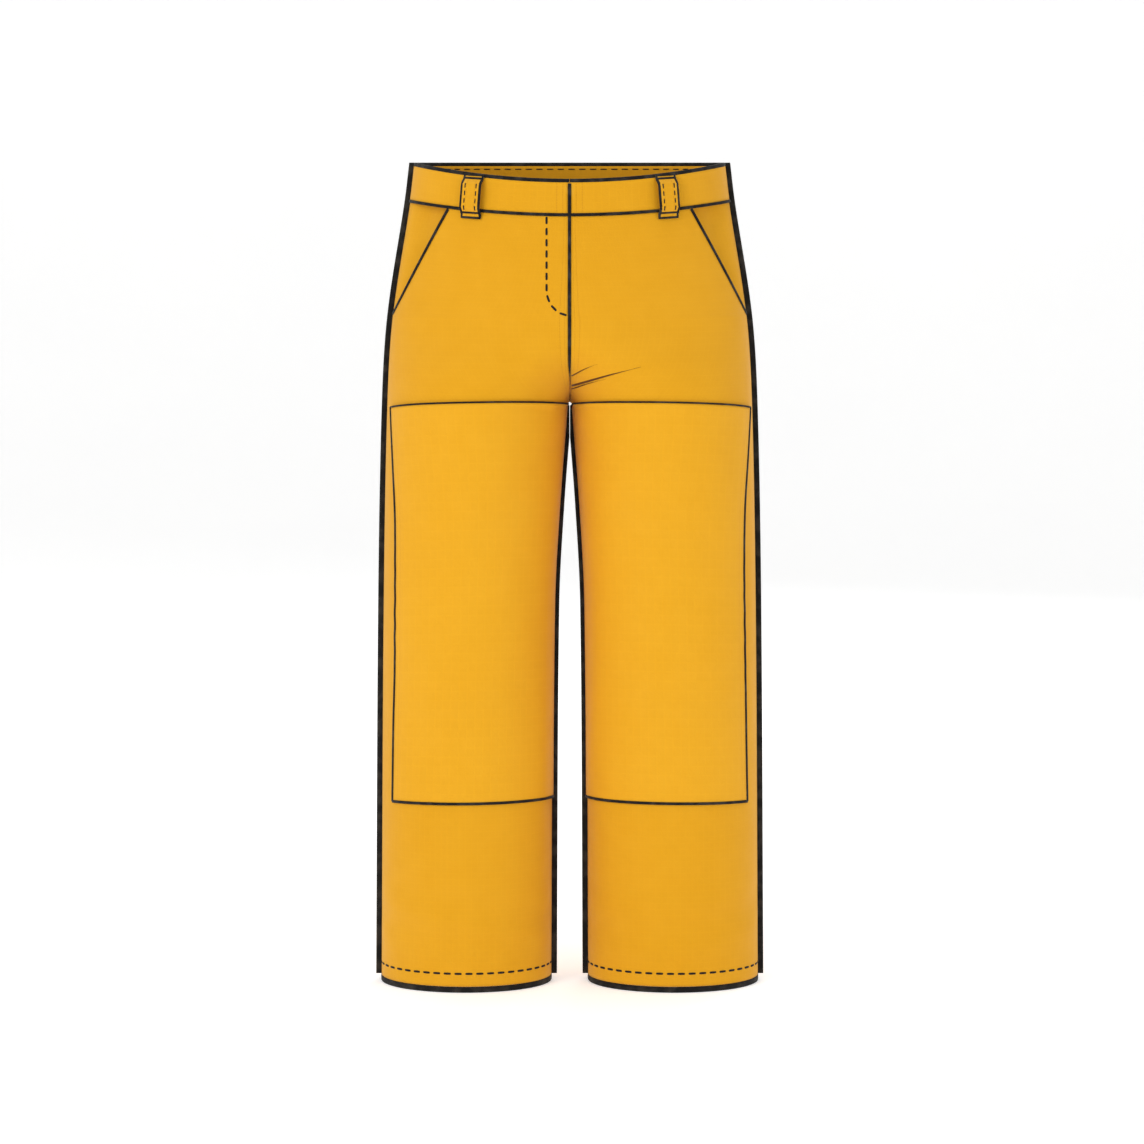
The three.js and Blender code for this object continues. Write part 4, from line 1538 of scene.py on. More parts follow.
@dataclass
class Waistband:
    """The waistband, its facing, its bound edge and the seam under it."""

    tailor: Tailor
    binding_height: float = 0.005
    facing_lift: float = 0.0026
    head_short: float = 0.0032
    edge_depth: float = -0.0007
    edge_half_thick: float = 0.0017
    back_edge_depth: float = -0.0013
    back_edge_half_thick: float = 0.0026
    seam_piping: float = 0.0038
    seam_lift: float = 0.0006
    front_run: float = 0.25
    back_run: float = 0.5
    past_fold: float = 0.0045
    past_shield: float = 0.0123
    stitch_drop: float = 0.0085
    stitch_start: float = 0.35
    inside_stitch: Stitch = field(default_factory=lambda: Stitch(0.0085, 0.0138, 0.0016, 0.0008))

    def build(self) -> None:
        """Make the three lengths of waistband and what is sewn to them."""
        cut, surface = self.tailor.cut, self.tailor.surface
        flap_edge = surface.flap_edge(cut.fold_proud + cut.cloth)

        def centre(level: float) -> float:
            """The centre front of the wearer's left."""
            return surface.angle_at(cut.gap / 2, level)

        def round_end(level: float) -> float:
            """The far side seam, for the length that runs round the back."""
            return math.pi - surface.side_edge(level)

        def past_fold(level: float) -> float:
            """The right facing starts past the fold."""
            return surface.angle_at(surface.fold_x(level) + self.past_fold, level)

        def past_shield(level: float) -> float:
            """The left facing starts past the shield's seam."""
            return surface.angle_at(self.past_shield, level)

        lengths = (
            ("right", Half.RIGHT, Face.FRONT, flap_edge, past_fold, surface.side_edge),
            ("left", Half.LEFT, Face.FRONT, centre, past_shield, surface.side_edge),
            ("back", Half.LEFT, Face.BACK, surface.side_edge, surface.side_edge, round_end),
        )
        for word, half, face, start, facing_start, end in lengths:
            self.length(word, half, face, (start, end), (facing_start, end))
        self.back_stitches()

    def length(
        self, word: str, half: Half, face: Face, edges: tuple[Callable, Callable],
        facing_edges: tuple[Callable, Callable],
    ) -> None:
        """Make one length of the waistband.

        Args:
            word: right, left or back.
            half: the wearer's side.
            face: front or back.
            edges: where it starts and ends.
            facing_edges: where its facing starts and ends.
        """
        tailor, cut, surface = self.tailor, self.tailor.cut, self.tailor.surface
        right = word == "right"
        ride = Ride.FOLD if right else Ride.GARMENT
        columns = 110 if word == "back" else 60
        ends = (cut.waist_seam + cut.gap / 2, cut.outseam - self.head_short)
        place = tailor.layer(half, face, edges, ends, cut.band_proud)
        nodes = ("waistband_right", "waistband_tab") if right else (f"waistband_{word}",)
        tailor.sheet(
            f"waistband_cloth_{word}", Sheet(place, columns, 12), Finish.CANVAS, Slot.SHELL,
            cut.cloth + cut.band_proud, nodes, ride, held="stretched",
        )
        facing = tailor.layer(half, face, facing_edges, ends, -self.facing_lift)
        tailor.sheet(
            f"waist_lining_{word}", Sheet(facing, columns, 10), Finish.INSIDE, Slot.SHELL, cut.facing,
            (f"waist_facing_{word}",), held="stretched",
        )
        middle = cut.outseam - self.binding_height / 2

        def trail(along: float) -> tuple[float, float]:
            """Along the waist edge."""
            return mix(edges[0](middle), edges[1](middle), along), middle

        around_back = word == "back"
        flat = tailor.course(half, face, trail, self.back_edge_depth if around_back else self.edge_depth)
        bound = ("waist_binding_right", "waist_binding_tab") if right else (f"waist_binding_{word}",)
        half_thick = self.back_edge_half_thick if around_back else self.edge_half_thick
        strand = Strand(flat, self.binding_height / 2, half_thick, columns, square=4.0, around=14)
        tailor.bench.piece(strand.mesh(), f"waist_edge_{word}", Finish.BINDING, Slot.BINDING, ride, bound)

        def seam_trail(along: float) -> tuple[float, float]:
            """Along the seam under the waistband."""
            return mix(edges[0](cut.waist_seam), edges[1](cut.waist_seam), along), cut.waist_seam

        seam = tailor.course(half, face, seam_trail, cut.band_proud + self.seam_lift)
        run = self.front_run if face is Face.FRONT else self.back_run
        tailor.piping(f"waist_seam_piping_{word}", [(seam, run)], self.seam_piping, ride)

    def back_stitches(self) -> None:
        """Sew the dashed row inside the back of the waistband."""
        cut, surface = self.tailor.cut, self.tailor.surface
        level = cut.outseam - self.stitch_drop
        depth = -self.facing_lift - cut.facing

        def follow(along: float) -> tuple[Vector, Vector, Vector]:
            """Along the inside of the waistband, with the lift pointing inward."""
            angle = mix(self.stitch_start, math.pi - self.stitch_start, along)
            point, normal = surface.spot(Half.LEFT, Face.BACK, angle, level, depth)
            return point, Vector((0.0, 0.0, 1.0)), -normal

        self.tailor.bench.piece(
            stitches(self.inside_stitch, [follow]), "waist_inside_stitches", Finish.THREAD, Slot.BINDING,
        )


@dataclass
class BeltLoops:
    """Five belt loops, edged and tacked in black."""

    tailor: Tailor
    width: float = 0.024
    cloth: float = 0.002
    room: float = 0.007
    base: float = 0.0015
    head_short: float = 0.003
    foot_over: float = 0.0095
    tack: float = 0.0075
    edge: float = 0.0032
    edge_over: float = 0.0003
    edge_square: float = 3.0
    bar_lift: float = 0.0004
    bar_half_width: float = 0.0016
    bar_half_height: float = 0.0006
    stitch_off: float = 0.0074
    step: float = 0.001
    front_distance: float = 0.119
    back_distance: float = 0.110
    stitch: Stitch = field(default_factory=lambda: Stitch(0.0062, 0.0092, 0.0019, 0.0010))

    def build(self) -> None:
        """Make all five."""
        for name, half, face, distance in (
            ("front_right", Half.RIGHT, Face.FRONT, self.front_distance),
            ("front_left", Half.LEFT, Face.FRONT, self.front_distance),
            ("back_right", Half.RIGHT, Face.BACK, self.back_distance),
            ("back_left", Half.LEFT, Face.BACK, self.back_distance),
            ("back_centre", Half.LEFT, Face.BACK, 0.0),
        ):
            self.loop(name, half, face, distance)

    def loop(self, name: str, half: Half, face: Face, distance: float) -> None:
        """Make one loop with its edges, tacks and stitches.

        Args:
            name: where it sits.
            half: the wearer's side.
            face: front or back.
            distance: how far from the middle of the body.
        """
        surface, cut = self.tailor.surface, self.tailor.cut
        level = (cut.waist_seam + cut.outseam) / 2
        angle = surface.angle_at(distance, level)
        origin, normal, _ = surface.lie(half, face, angle, level)
        above = surface.lie(half, face, angle, cut.outseam)[0]
        below = surface.lie(half, face, angle, cut.waist_seam)[0]
        up = (above - below).normalized()
        along = normal.cross(up).normalized()
        out = up.cross(along)
        head_edge = surface.lie(half, face, surface.angle_at(distance, cut.outseam), cut.outseam)[0].z
        foot_edge = surface.lie(half, face, surface.angle_at(distance, cut.waist_seam), cut.waist_seam)[0].z
        head = head_edge - self.head_short - origin.z
        foot = foot_edge - self.foot_over - origin.z

        def stand(height: float) -> float:
            """How far the loop's outer face stands off at a height."""
            rise = ease(height, foot + 0.3 * self.tack, foot + 1.7 * self.tack)
            fall = 1 - ease(height, head - 1.7 * self.tack, head - 0.3 * self.tack)
            return self.base + self.cloth + self.room * rise * fall

        def spot(sideways: float, height: float, lift: float) -> Vector:
            """A point over the loop's outer face."""
            return origin + along * sideways + up * height + out * (stand(height) + lift)

        def place(u: float, v: float, folded: bool) -> tuple[Vector, Vector]:
            """A point of the loop's cloth."""
            return spot((u - 0.5) * self.width, mix(foot, head, v), 0.0), out

        def lengthwise(sideways: float, low: float, high: float, lift: float) -> Course:
            """A course up the loop."""

            def follow(share: float) -> tuple[Vector, Vector, Vector]:
                """The point, sideways and lift at a share of the course."""
                height = mix(low, high, share)
                ahead = spot(0, height + self.step, 0) - spot(0, height - self.step, 0)
                ahead = ahead.normalized()
                return spot(sideways, height, lift), along, along.cross(ahead).normalized()

            return follow

        def crosswise(height: float, lift: float) -> Course:
            """A course across the loop."""

            def follow(share: float) -> tuple[Vector, Vector, Vector]:
                """The point, sideways and lift at a share of the course."""
                return spot((share - 0.5) * (self.width + self.edge * 0.7), height, lift), up, out

            return follow

        trim = bmesh.new()
        for side in (-1, 1):
            Strand(lengthwise(side * self.width / 2, foot, head, -self.cloth / 2), self.edge / 2,
                   self.cloth / 2 + self.edge_over, 24, square=self.edge_square).mesh(trim)
        for height in (foot, head):
            Strand(crosswise(height, -self.cloth / 2), self.edge / 2, self.cloth / 2 + self.edge_over, 8,
                   square=self.edge_square).mesh(trim)
        for height in (foot + self.tack * 0.8, head - self.tack * 0.55):
            Strand(crosswise(height, self.bar_lift), self.bar_half_width, self.bar_half_height, 8).mesh(trim)
        edging = self.tailor.bench.piece(trim, f"belt_loop_edging_{name}", Finish.BINDING, Slot.BINDING)
        rows = [
            lengthwise(side * self.stitch_off, foot + self.tack * 1.15, head - self.tack * 0.9, 0.0)
            for side in (-1, 1)
        ]
        sewn = self.tailor.bench.piece(
            stitches(self.stitch, rows), f"belt_loop_stitches_{name}", Finish.THREAD, Slot.BINDING,
        )
        self.tailor.sheet(
            f"belt_loop_cloth_{name}", Sheet(place, 8, 36), Finish.CANVAS, Slot.SHELL, self.cloth,
            (f"belt_loop_{name}",), held="stretched", with_pieces=(edging, sewn),
        )


@dataclass
class Fly:
    """The facing of the fly flap, the shield behind it, tapes, stud and the curved row of stitches."""

    tailor: Tailor
    stitch_x: float = 0.0285
    facing_x: float = 0.031
    curve_rise: float = 0.028
    curve_top: float = 0.894
    curve_drop: float = 0.0362
    facing_face: float = -0.0026
    shield_seam: float = 0.012
    shield_reach: float = 0.042
    shield_depth: float = 0.0072
    tape: float = 0.001
    tape_edge: float = 0.002
    tape_width: float = 0.022
    corner: float = 0.0038
    past_fold: float = 0.004
    facing_foot: float = 0.006
    shield_foot: float = 0.002
    slope_start: float = 0.001
    slope_end: float = 0.009
    tape_foot: float = 0.040
    tape_head: float = 0.015
    stitch_head: float = 0.003
    straight_share: float = 0.66
    curve_share: float = 0.34
    curve_end: float = 0.95
    stitch: Stitch = field(default_factory=Stitch)

    def build(self) -> None:
        """Make every part of the fly."""
        self.facing()
        self.shield()
        self.tapes()
        self.curved_stitches()
        for name in ("snap_socket", "snap_stud", "snap_stud_post"):
            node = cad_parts[name]
            node.data.materials.clear()
            node.data.materials.append(Finish.METAL.material)

    def facing(self) -> None:
        """Make the facing, which crosses the fold."""
        tailor, cut, surface = self.tailor, self.tailor.cut, self.tailor.surface

        def inner(level: float) -> float:
            """The flap's free edge, or just past the centre below the flap."""
            corner = cut.fold_proud + self.corner
            reach = surface.fold_x(level)
            swing = reach - math.sqrt(max(reach * reach - corner * corner, 0.0))
            return surface.angle_at(swing + cut.gap, level)

        def outer(level: float) -> float:
            """The sewn edge, or just past the fold where the fold passes it."""
            down = 1 - climb(level, cut.hip_line, cut.hip_line + self.curve_rise)
            sewn = self.facing_x * math.sqrt(1 - down * down)
            return surface.angle_at(max(sewn, surface.fold_x(level) + self.past_fold), level)

        place = tailor.layer(
            Half.RIGHT, Face.FRONT, (inner, outer), (cut.hip_line + self.facing_foot, cut.band_top),
            self.facing_face,
        )
        tailor.sheet(
            "fly_facing_cloth", Sheet(place, 18, 60), Finish.INSIDE, Slot.SHELL, cut.facing,
            ("fly_facing_flap", "fly_facing_fixed"), Ride.FOLD, rests_on=("shell_front_right",), held="laid",
        )

    def shield(self) -> None:
        """Make the underlap behind the flap."""
        tailor, cut, surface = self.tailor, self.tailor.cut, self.tailor.surface

        def depth(angle: float, level: float) -> float:
            """Down from behind the left front to its place behind the flap."""
            x = surface.half_width(level) * math.cos(angle)
            return mix(-self.shield_depth, self.facing_face, ease(x, self.slope_start, self.slope_end))

        def edge(x: float) -> Callable[[float], float]:
            """The angle of an edge at a distance to the wearer's left."""
            return lambda level: math.acos(x / surface.half_width(level))

        place = tailor.layer(
            Half.LEFT, Face.FRONT, (edge(self.shield_seam), edge(-self.shield_reach)),
            (cut.hip_line + self.shield_foot, cut.band_top), depth,
        )
        tailor.sheet(
            "fly_shield_cloth", Sheet(place, 26, 60), Finish.INSIDE, Slot.SHELL, cut.liner, ("fly_shield",),
            rests_on=("shell_front_left",),
        )

    def tapes(self) -> None:
        """Make the hook tape on the flap and the loop tape on the shield."""
        tailor, cut, surface = self.tailor, self.tailor.cut, self.tailor.surface

        def near(level: float) -> float:
            """The edge beside the centre front."""
            return surface.angle_at(self.tape_edge, level)

        def far(level: float) -> float:
            """The edge towards the fold."""
            width = min(self.tape_width, surface.fold_x(level) - 2 * self.tape_edge)
            return surface.angle_at(self.tape_edge + width, level)

        ends = (cut.hip_line + self.tape_foot, cut.waist_seam - self.tape_head)
        hook_face = self.facing_face - cut.facing - cut.gap
        loop_face = -self.shield_depth + cut.gap + self.tape
        for name, face, ride in (("hook_tape", hook_face, Ride.FLAP), ("loop_tape", loop_face, Ride.GARMENT)):
            place = tailor.layer(Half.RIGHT, Face.FRONT, (near, far), ends, face)
            tailor.sheet(
                f"{name}_pile", Sheet(place, 14, 60), Finish.TAPE, Slot.TAPE, self.tape, (name,), ride,
                rests_on=("fly_facing_cloth" if ride is Ride.FLAP else "fly_shield_cloth",), held="laid",
            )

    def curved_stitches(self) -> None:
        """Sew the row that holds the facing: straight down, then curving to the centre front."""
        tailor, cut, surface = self.tailor, self.tailor.cut, self.tailor.surface
        head = cut.waist_seam - self.stitch_head
        straight = head - self.curve_top

        def trail(along: float) -> tuple[float, float]:
            """Along the straight part for two thirds, then round the curve."""
            if along < self.straight_share:
                level = head - straight * along / self.straight_share
                return surface.angle_at(self.stitch_x, level), level
            turn = (along - self.straight_share) / self.curve_share * math.pi / 2 * self.curve_end
            level = self.curve_top - self.curve_drop * math.sin(turn)
            return surface.angle_at(self.stitch_x * math.cos(turn), level), level

        course = tailor.course(Half.RIGHT, Face.FRONT, trail, 0.0)
        tailor.bench.piece(
            stitches(self.stitch, [course]), "fly_stitches", Finish.THREAD, Slot.BINDING, Ride.FOLD,
        )


@dataclass
class Pockets:
    """The slanted pockets: bag, facing in the mouth and bound mouth."""

    tailor: Tailor
    fall: float = 0.070
    head_short: float = 0.030
    inner: float = 0.118
    side: float = math.radians(8)
    sink: float = math.radians(25.6)
    side_lift: float = -0.0002
    mouth_foot: float = 0.0015
    mouth_head: float = 0.0025
    mouth_in: float = 0.0021
    mouth_lift: float = 0.0007
    binding_half_height: float = 0.0006
    tuck: float = 0.06
    bag_in: float = 0.012
    pocketing: float = 0.0006
    face: float = -0.0038
    room: float = 0.012
    binding: float = 0.0040

    def build(self) -> None:
        """Make both pockets."""
        for half in Half:
            binding = self.mouth(half)
            self.mouth_facing(half)
            self.bag(half, binding)

    def mouth(self, half: Half) -> bpy.types.Object:
        """Make the binding along the mouth.

        Args:
            half: the wearer's side.

        Returns:
            The piece.
        """
        tailor, cut, surface = self.tailor, self.tailor.cut, self.tailor.surface

        def trail(along: float) -> tuple[float, float]:
            """Up the mouth from the side seam to the waist seam."""
            level = mix(cut.hip_line + self.mouth_foot, cut.waist_seam - self.mouth_head, along)
            return surface.mouth_edge(level) + self.mouth_in / surface.half_width(level), level

        course = tailor.course(half, Face.FRONT, trail, self.mouth_lift)
        work = Strand(course, self.binding / 2, self.binding_half_height, 40, square=2.6).mesh()
        return tailor.bench.piece(
            work, f"pocket_mouth_binding_{half.word}", Finish.BINDING, Slot.BINDING,
            replaces=(f"pocket_binding_{half.word}",),
        )

    def mouth_facing(self, half: Half) -> None:
        """Make the cloth seen in the mouth, which sinks towards the back of the bag."""
        tailor, cut, surface = self.tailor, self.tailor.cut, self.tailor.surface
        back = self.face - self.room - cut.facing

        def depth(angle: float, _: float) -> float:
            """From just behind the side seam to the bag's back."""
            return mix(self.side_lift, back, ease(angle, 0.0, self.sink))

        def tucked(level: float) -> float:
            """Just inside the mouth's edge."""
            return surface.mouth_edge(level) + self.tuck

        place = tailor.layer(
            half, Face.FRONT, (tucked, surface.side_edge), (cut.hip_line, cut.waist_seam - 0.0003), depth,
        )
        tailor.sheet(
            f"pocket_mouth_facing_{half.word}", Sheet(place, 24, 40), Finish.CANVAS, Slot.SHELL, cut.facing,
            (f"hip_facing_{half.word}",), rests_on=(f"shell_back_{half.word}",),
        )

    def bag(self, half: Half, binding: bpy.types.Object) -> None:
        """Make the bag, one length of cloth folded at its inner edge.

        Args:
            half: the wearer's side.
            binding: the mouth's binding; it is not used.
        """
        tailor, cut, surface = self.tailor, self.tailor.cut, self.tailor.surface
        foot, head = cut.hip_line - self.fall, cut.waist_seam - self.head_short
        middle = self.face - self.room / 2 - cut.facing
        deep = self.room / 2 + cut.facing

        def place(u: float, v: float, folded: bool) -> tuple[Vector, Vector]:
            """Front layer from the side to the inner edge, then the back layer home again."""
            level = mix(foot, head, v)
            inward = 1 - abs(2 * u - 1)
            outer = max(self.side, surface.mouth_edge(level) + self.bag_in)
            angle = mix(outer, surface.angle_at(self.inner, level), inward)
            open_side = ease(level, cut.hip_line - 0.004, cut.hip_line + 0.012)
            swell = math.sqrt(max(1 - inward ** 6, 0.0)) * math.sqrt(ease(v, 0.0, 0.22)) * mix(
                math.sqrt(ease(inward, 0.0, 0.2)), 1.0, open_side)
            side = 1.0 if u < 0.5 else -1.0
            return surface.spot(half, Face.FRONT, angle, level, middle + side * deep * swell, folded)

        sheet = Sheet(place, 48, 56)
        tailor.sheet(
            f"pocket_bag_cloth_{half.word}", sheet, Finish.POCKETING, Slot.POCKETING, self.pocketing,
            (f"pocket_bag_{half.word}",), rests_on=(f"shell_front_{half.word}",), with_pieces=(binding,),
        )


@dataclass
class SeamBindings:
    """The bound ribs that stand off the side seams and the inseams."""

    tailor: Tailor
    proud: float = 0.0072
    sunk: float = 0.0013
    thickness: float = 0.003

    def build(self) -> None:
        """Make all four ribs."""
        surface, cut = self.tailor.surface, self.tailor.cut
        for half in Half:
            self.rib(
                f"side_binding_{half.word}", f"side_seam_{half.word}", half, (cut.panel_foot, cut.outseam),
                lambda level: (surface.half_width(level) - self.sunk, surface.half_width(level) + self.proud),
            )
            self.rib(
                f"inseam_binding_{half.word}", f"inseam_{half.word}", half,
                (cut.panel_foot, cut.inseam - 0.003),
                lambda level: (
                    surface.leg_gap.at(level) + self.sunk,
                    max(surface.leg_gap.at(level) - self.proud, 0.0003),
                ),
            )

    def rib(
        self, name: str, node: str, half: Half, ends: tuple[float, float],
        edges: Callable[[float], tuple[float, float]],
    ) -> None:
        """Make one rib.

        Args:
            name: the piece's name.
            node: the CAD node that it stands for.
            half: the wearer's side.
            ends: the levels of its foot and head.
            edges: its two edges, as distances from the middle of the body.
        """
        steps = 180
        own = bmesh.new()

        def course(along: float) -> tuple[Vector, Vector, Vector]:
            """Up the seam, with the rib's width folded into the sideways direction."""
            level = mix(ends[0], ends[1], along)
            near, far = edges(level)
            middle = Vector((half.value * (near + far) / 2, self.tailor.cut.seam_plane, level))
            return middle, Vector((abs(far - near) / self.proud, 0.0, 0.0)), Vector((0.0, 1.0, 0.0))

        Strand(course, self.proud / 2, self.thickness / 2, steps, square=3.2, around=14).mesh(own)
        self.tailor.bench.piece(own, name, Finish.BINDING, Slot.BINDING, replaces=(node,))


@dataclass
class Hems:
    """The bound hems, the cloth turned up inside them and the row of stitches above."""

    tailor: Tailor
    binding: float = 0.0075
    turn_up: float = 0.0162
    stitch_level: float = 0.0245
    edge_depth: float = -0.00085
    edge_half_thick: float = 0.0015
    tuck: float = 0.0006
    stitch_start: float = 0.035
    stitch: Stitch = field(default_factory=Stitch)

    def around(self, half: Half, share: float) -> tuple[Face, float]:
        """The face and angle at a share of the way round one leg."""
        turn = (share % 1.0) * 2 * math.pi
        if turn < math.pi:
            return Face.BACK, turn
        return Face.FRONT, 2 * math.pi - turn

    def build(self) -> None:
        """Make both hems."""
        surface, cut = self.tailor.surface, self.tailor.cut
        for half in Half:

            def ring(along: float, half: Half = half) -> tuple[Vector, Vector, Vector]:
                """Round the foot of the leg."""
                face, angle = self.around(half, along)
                point, normal = surface.spot(half, face, angle, self.binding / 2, self.edge_depth)
                return point, Vector((0.0, 0.0, 1.0)), normal

            strand = Strand(
                ring, self.binding / 2, self.edge_half_thick, 120, square=4.0, ring=True, around=14,
            )
            self.tailor.bench.piece(
                strand.mesh(), f"hem_edge_{half.word}", Finish.BINDING, Slot.BINDING,
                replaces=(f"hem_binding_{half.word}",),
            )

            def inside(u: float, v: float, folded: bool, half: Half = half) -> tuple[Vector, Vector]:
                """The turned-up cloth, just inside the shell."""
                face, angle = self.around(half, u)
                level = mix(cut.panel_foot, cut.panel_foot + self.turn_up, v)
                return surface.spot(half, face, angle, level, -cut.cloth - self.tuck, folded)

            self.tailor.sheet(
                f"hem_turn_up_{half.word}", Sheet(inside, 120, 8, ring=True), Finish.INSIDE, Slot.SHELL,
                cut.facing, (f"hem_facing_{half.word}",), rests_on=(f"shell_front_{half.word}",),
            )
            rows = [
                self.tailor.course(
                    half, face,
                    lambda along: (
                        mix(self.stitch_start, math.pi - self.stitch_start, along), self.stitch_level,
                    ), 0.0,
                )
                for face in Face
            ]
            self.tailor.bench.piece(
                stitches(self.stitch, rows), f"hem_stitches_{half.word}", Finish.THREAD, Slot.BINDING,
            )


@dataclass
class Liner:
    """The quilted liner behind the shell."""

    tailor: Tailor
    hem: float = 0.060
    lap: float = 0.012
    depth: float = 0.0044
    quilt: float = 0.038
    puff: float = 0.0007
    ramp: float = 0.050
    room: float = 0.003
    bag_fall: float = 0.070
    bag_edge: float = 0.118
    bag_past: float = 0.06
    bag_ramp: float = 0.26
    bag_depth: float = 0.0168
    fly_start: float = 0.084
    fly_end: float = 0.045
    fly_depth: float = 0.0059
    quilt_turn: float = 0.108

    def face_depth(self, face: Face) -> Callable[[float, float], float]:
        """How deep the liner lies: close to the shell, and behind the pocket bags and the fly.

        Args:
            face: front or back.

        Returns:
            The depth against angle and level.
        """
        cut, surface = self.tailor.cut, self.tailor.surface
        foot = cut.hip_line - self.bag_fall

        def depth(angle: float, level: float) -> float:
            """The liner's outer face."""
            if face is Face.BACK:
                return -self.depth
            past_hip = ease(level, cut.hip_line - self.ramp, cut.hip_line - self.room)
            start = surface.angle_at(self.fly_start, level)
            near_fly = ease(angle, start, max(surface.angle_at(self.fly_end, level), start + 1e-3))
            past_bag = ease(level, foot - self.ramp, foot - self.room)
            bag_edge = surface.angle_at(self.bag_edge, level) + self.bag_past
            over_bag = 1 - ease(angle, bag_edge, bag_edge + self.bag_ramp)
            behind_fly = self.fly_depth * past_hip * near_fly
            return -self.depth - max(behind_fly, self.bag_depth * past_bag * over_bag)

        return depth

    def quilted(self, face: Face, half: Half) -> Callable[[float, float], float]:
        """The liner's depth with its diamond channels.

        Args:
            face: front or back.
            half: the wearer's side; it is not used.

        Returns:
            The depth against angle and level.
        """
        base = self.face_depth(face)

        def depth(angle: float, level: float) -> float:
            """The quilted outer face."""
            along = angle * self.quilt_turn
            first = abs(math.sin(math.pi * (along + level) / self.quilt))
            second = abs(math.sin(math.pi * (along - level) / self.quilt))
            return base(angle, level) - self.puff * (1 - min(first, second, 0.5) * 2)

        return depth

    def build(self) -> None:
        """Make the four lengths."""
        cut, surface = self.tailor.cut, self.tailor.surface
        for half in Half:
            for face in Face:
                place = self.tailor.layer(
                    half, face, (surface.inner_edge, surface.side_edge),
                    (self.hem, cut.waist_seam + self.lap), self.quilted(face, half),
                )
                self.tailor.sheet(
                    f"liner_quilt_{face.word}_{half.word}", Sheet(place, 60, 170), Finish.LINER, Slot.LINER,
                    cut.liner, (f"liner_{face.word}_{half.word}",), rests_on=("waist_lining_back",),
                )


# --- the studio ------------------------------------------------------------------------------------


@dataclass(frozen=True)
class SoftBox:
    """One large soft light."""

    name: str
    place: tuple[float, float, float]
    aim: tuple[float, float, float]
    size: float
    power: float
    colour: tuple[float, float, float] = (1.0, 1.0, 1.0)

    def hang(self) -> None:
        """Put the light up."""
        lamp = bpy.data.lights.new(self.name, "AREA")
        lamp.shape = "SQUARE"
        lamp.size = self.size
        lamp.energy = self.power
        lamp.color = self.colour
        made = bpy.data.objects.new(self.name, lamp)
        bpy.context.scene.collection.objects.link(made)
        made.location = self.place
        direction = Vector(self.aim) - Vector(self.place)
        made.rotation_euler = direction.to_track_quat("-Z", "Y").to_euler()


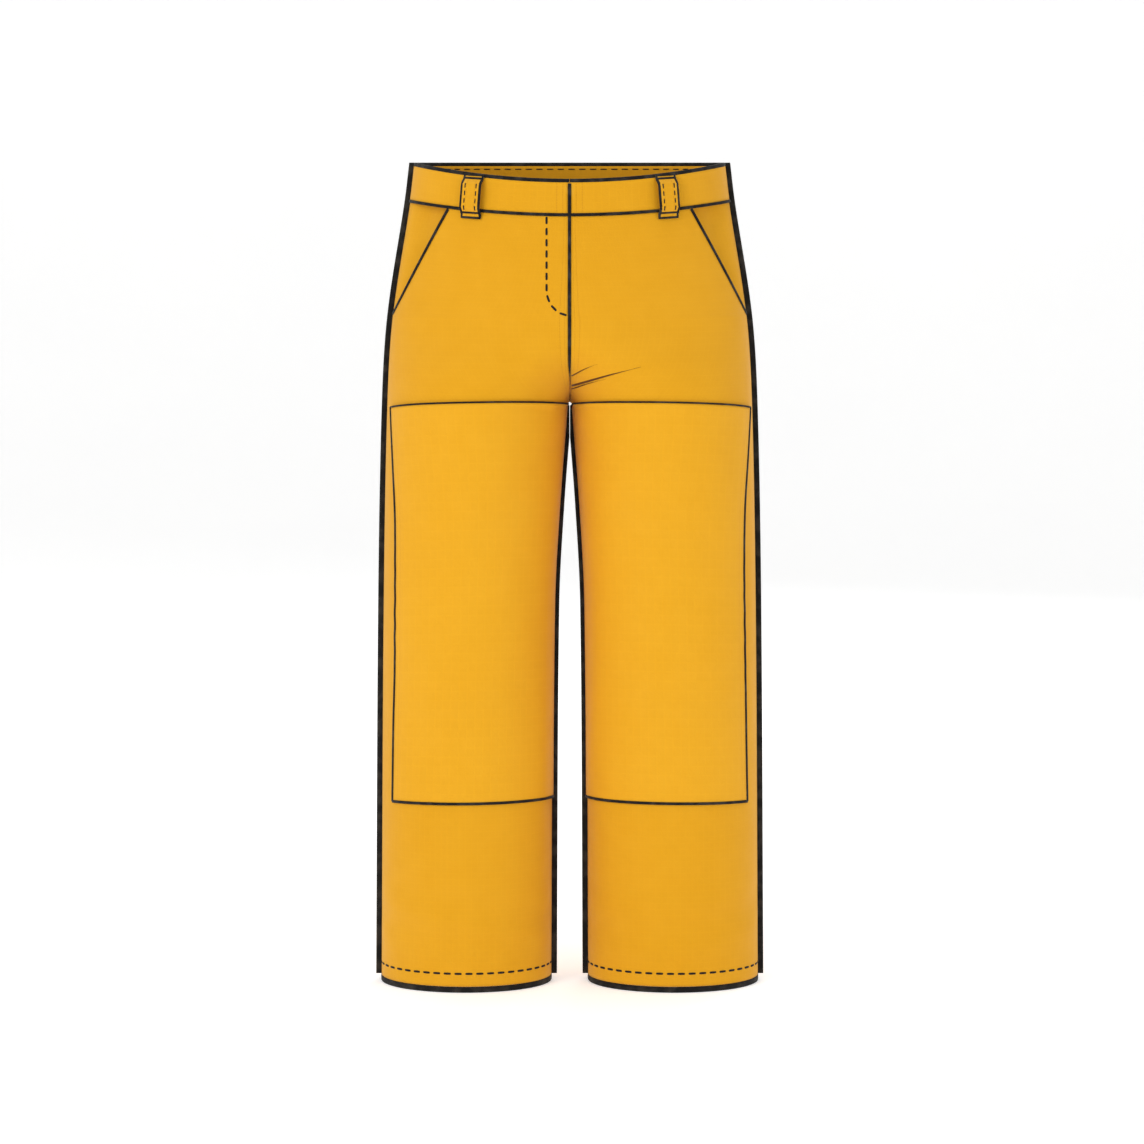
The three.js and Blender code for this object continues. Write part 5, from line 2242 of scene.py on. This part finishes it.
@dataclass
class Studio:
    """Pale floor and backdrop, soft lights and the camera."""

    camera_height: float = 1.045
    camera_distance: float = 5.0
    aim_height: float = 0.5255
    aim_x: float = 0.0029
    lens: float = 124.0
    sweep_start: float = 2.4
    sweep_radius: float = 3.4
    world_strength: float = 0.50

    def build(self) -> None:
        """Set up the studio."""
        self.floor()
        self.lights()
        self.camera()
        scene = bpy.context.scene
        scene.view_settings.view_transform = "Standard"
        scene.view_settings.look = "None"
        world = bpy.data.worlds.new("studio_air")
        world.use_nodes = True
        background = world.node_tree.nodes["Background"]
        background.inputs["Color"].default_value = (1.0, 1.0, 1.0, 1.0)
        background.inputs["Strength"].default_value = self.world_strength
        scene.world = world

    def floor(self) -> None:
        """Make a floor that sweeps up into a backdrop on all sides."""
        work = bmesh.new()
        bmesh.ops.create_circle(work, cap_ends=True, cap_tris=False, segments=96, radius=self.sweep_start * 2)
        rim = [edge for edge in work.edges if edge.is_boundary]
        for step in range(1, 9):
            turn = step / 8 * math.pi / 2
            grown = bmesh.ops.extrude_edge_only(work, edges=rim)["geom"]
            moved = [item for item in grown if isinstance(item, bmesh.types.BMVert)]
            radius = self.sweep_start * 2 + self.sweep_radius * math.sin(turn)
            for vertex in moved:
                flat = Vector((vertex.co.x, vertex.co.y)).normalized() * radius
                vertex.co = Vector((flat.x, flat.y, self.sweep_radius * (1 - math.cos(turn))))
            rim = [item for item in grown if isinstance(item, bmesh.types.BMEdge)]
        bmesh.ops.recalc_face_normals(work, faces=work.faces[:])
        mesh = bpy.data.meshes.new("studio_floor")
        bmesh.ops.translate(work, verts=work.verts[:], vec=Vector((0, 0, -0.0002)))
        work.to_mesh(mesh)
        work.free()
        mesh.polygons.foreach_set("use_smooth", [True] * len(mesh.polygons))
        made = bpy.data.objects.new("studio_floor", mesh)
        bpy.context.scene.collection.objects.link(made)
        mesh.materials.append(Plaster().make())

    def lights(self) -> None:
        """Hang the soft boxes."""
        middle = (0.0, 0.0, 0.55)
        for box in (
            SoftBox("key_light", (-2.6, -3.0, 2.6), middle, 1.8, 56.0),
            SoftBox("fill_light", (2.8, -2.8, 1.6), middle, 2.4, 16.0),
            SoftBox("back_light", (1.2, 3.2, 2.4), middle, 2.4, 42.0),
            SoftBox("top_light", (0.0, 0.0, 3.6), (0.0, 0.0, 0.0), 2.6, 30.0),
        ):
            box.hang()

    def camera(self) -> None:
        """Set the camera in front, level with the waist."""
        lens = bpy.data.cameras.new("camera")
        lens.lens = self.lens
        lens.sensor_width = 36.0
        made = bpy.data.objects.new("camera", lens)
        bpy.context.scene.collection.objects.link(made)
        place = Vector((self.aim_x, -self.camera_distance, self.camera_height))
        aim = Vector((self.aim_x, 0.0, self.aim_height))
        made.location = place
        made.rotation_euler = (aim - place).to_track_quat("-Z", "Y").to_euler()
        bpy.context.scene.camera = made


def seam_plane() -> float:
    """The depth at which the side seams lie."""
    low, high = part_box("side_seam_left")
    return (low[1] + high[1]) / 2


def main() -> None:
    """Build the trousers and the studio, in order."""
    logging.basicConfig(level=logging.INFO, format="%(message)s")
    surface = GarmentSurface(Cut(seam_plane()), Drape())
    tailor = Tailor(surface, Workbench())
    Studio().build()
    parts = (
        Shell, CrotchCreaseShadows, LegPatches, Waistband, BeltLoops, Fly, Pockets, SeamBindings, Hems, Liner,
    )
    for part in parts:
        part(tailor).build()
        logger.info("%s is done", part.__name__)


if __name__ == "__main__":
    main()
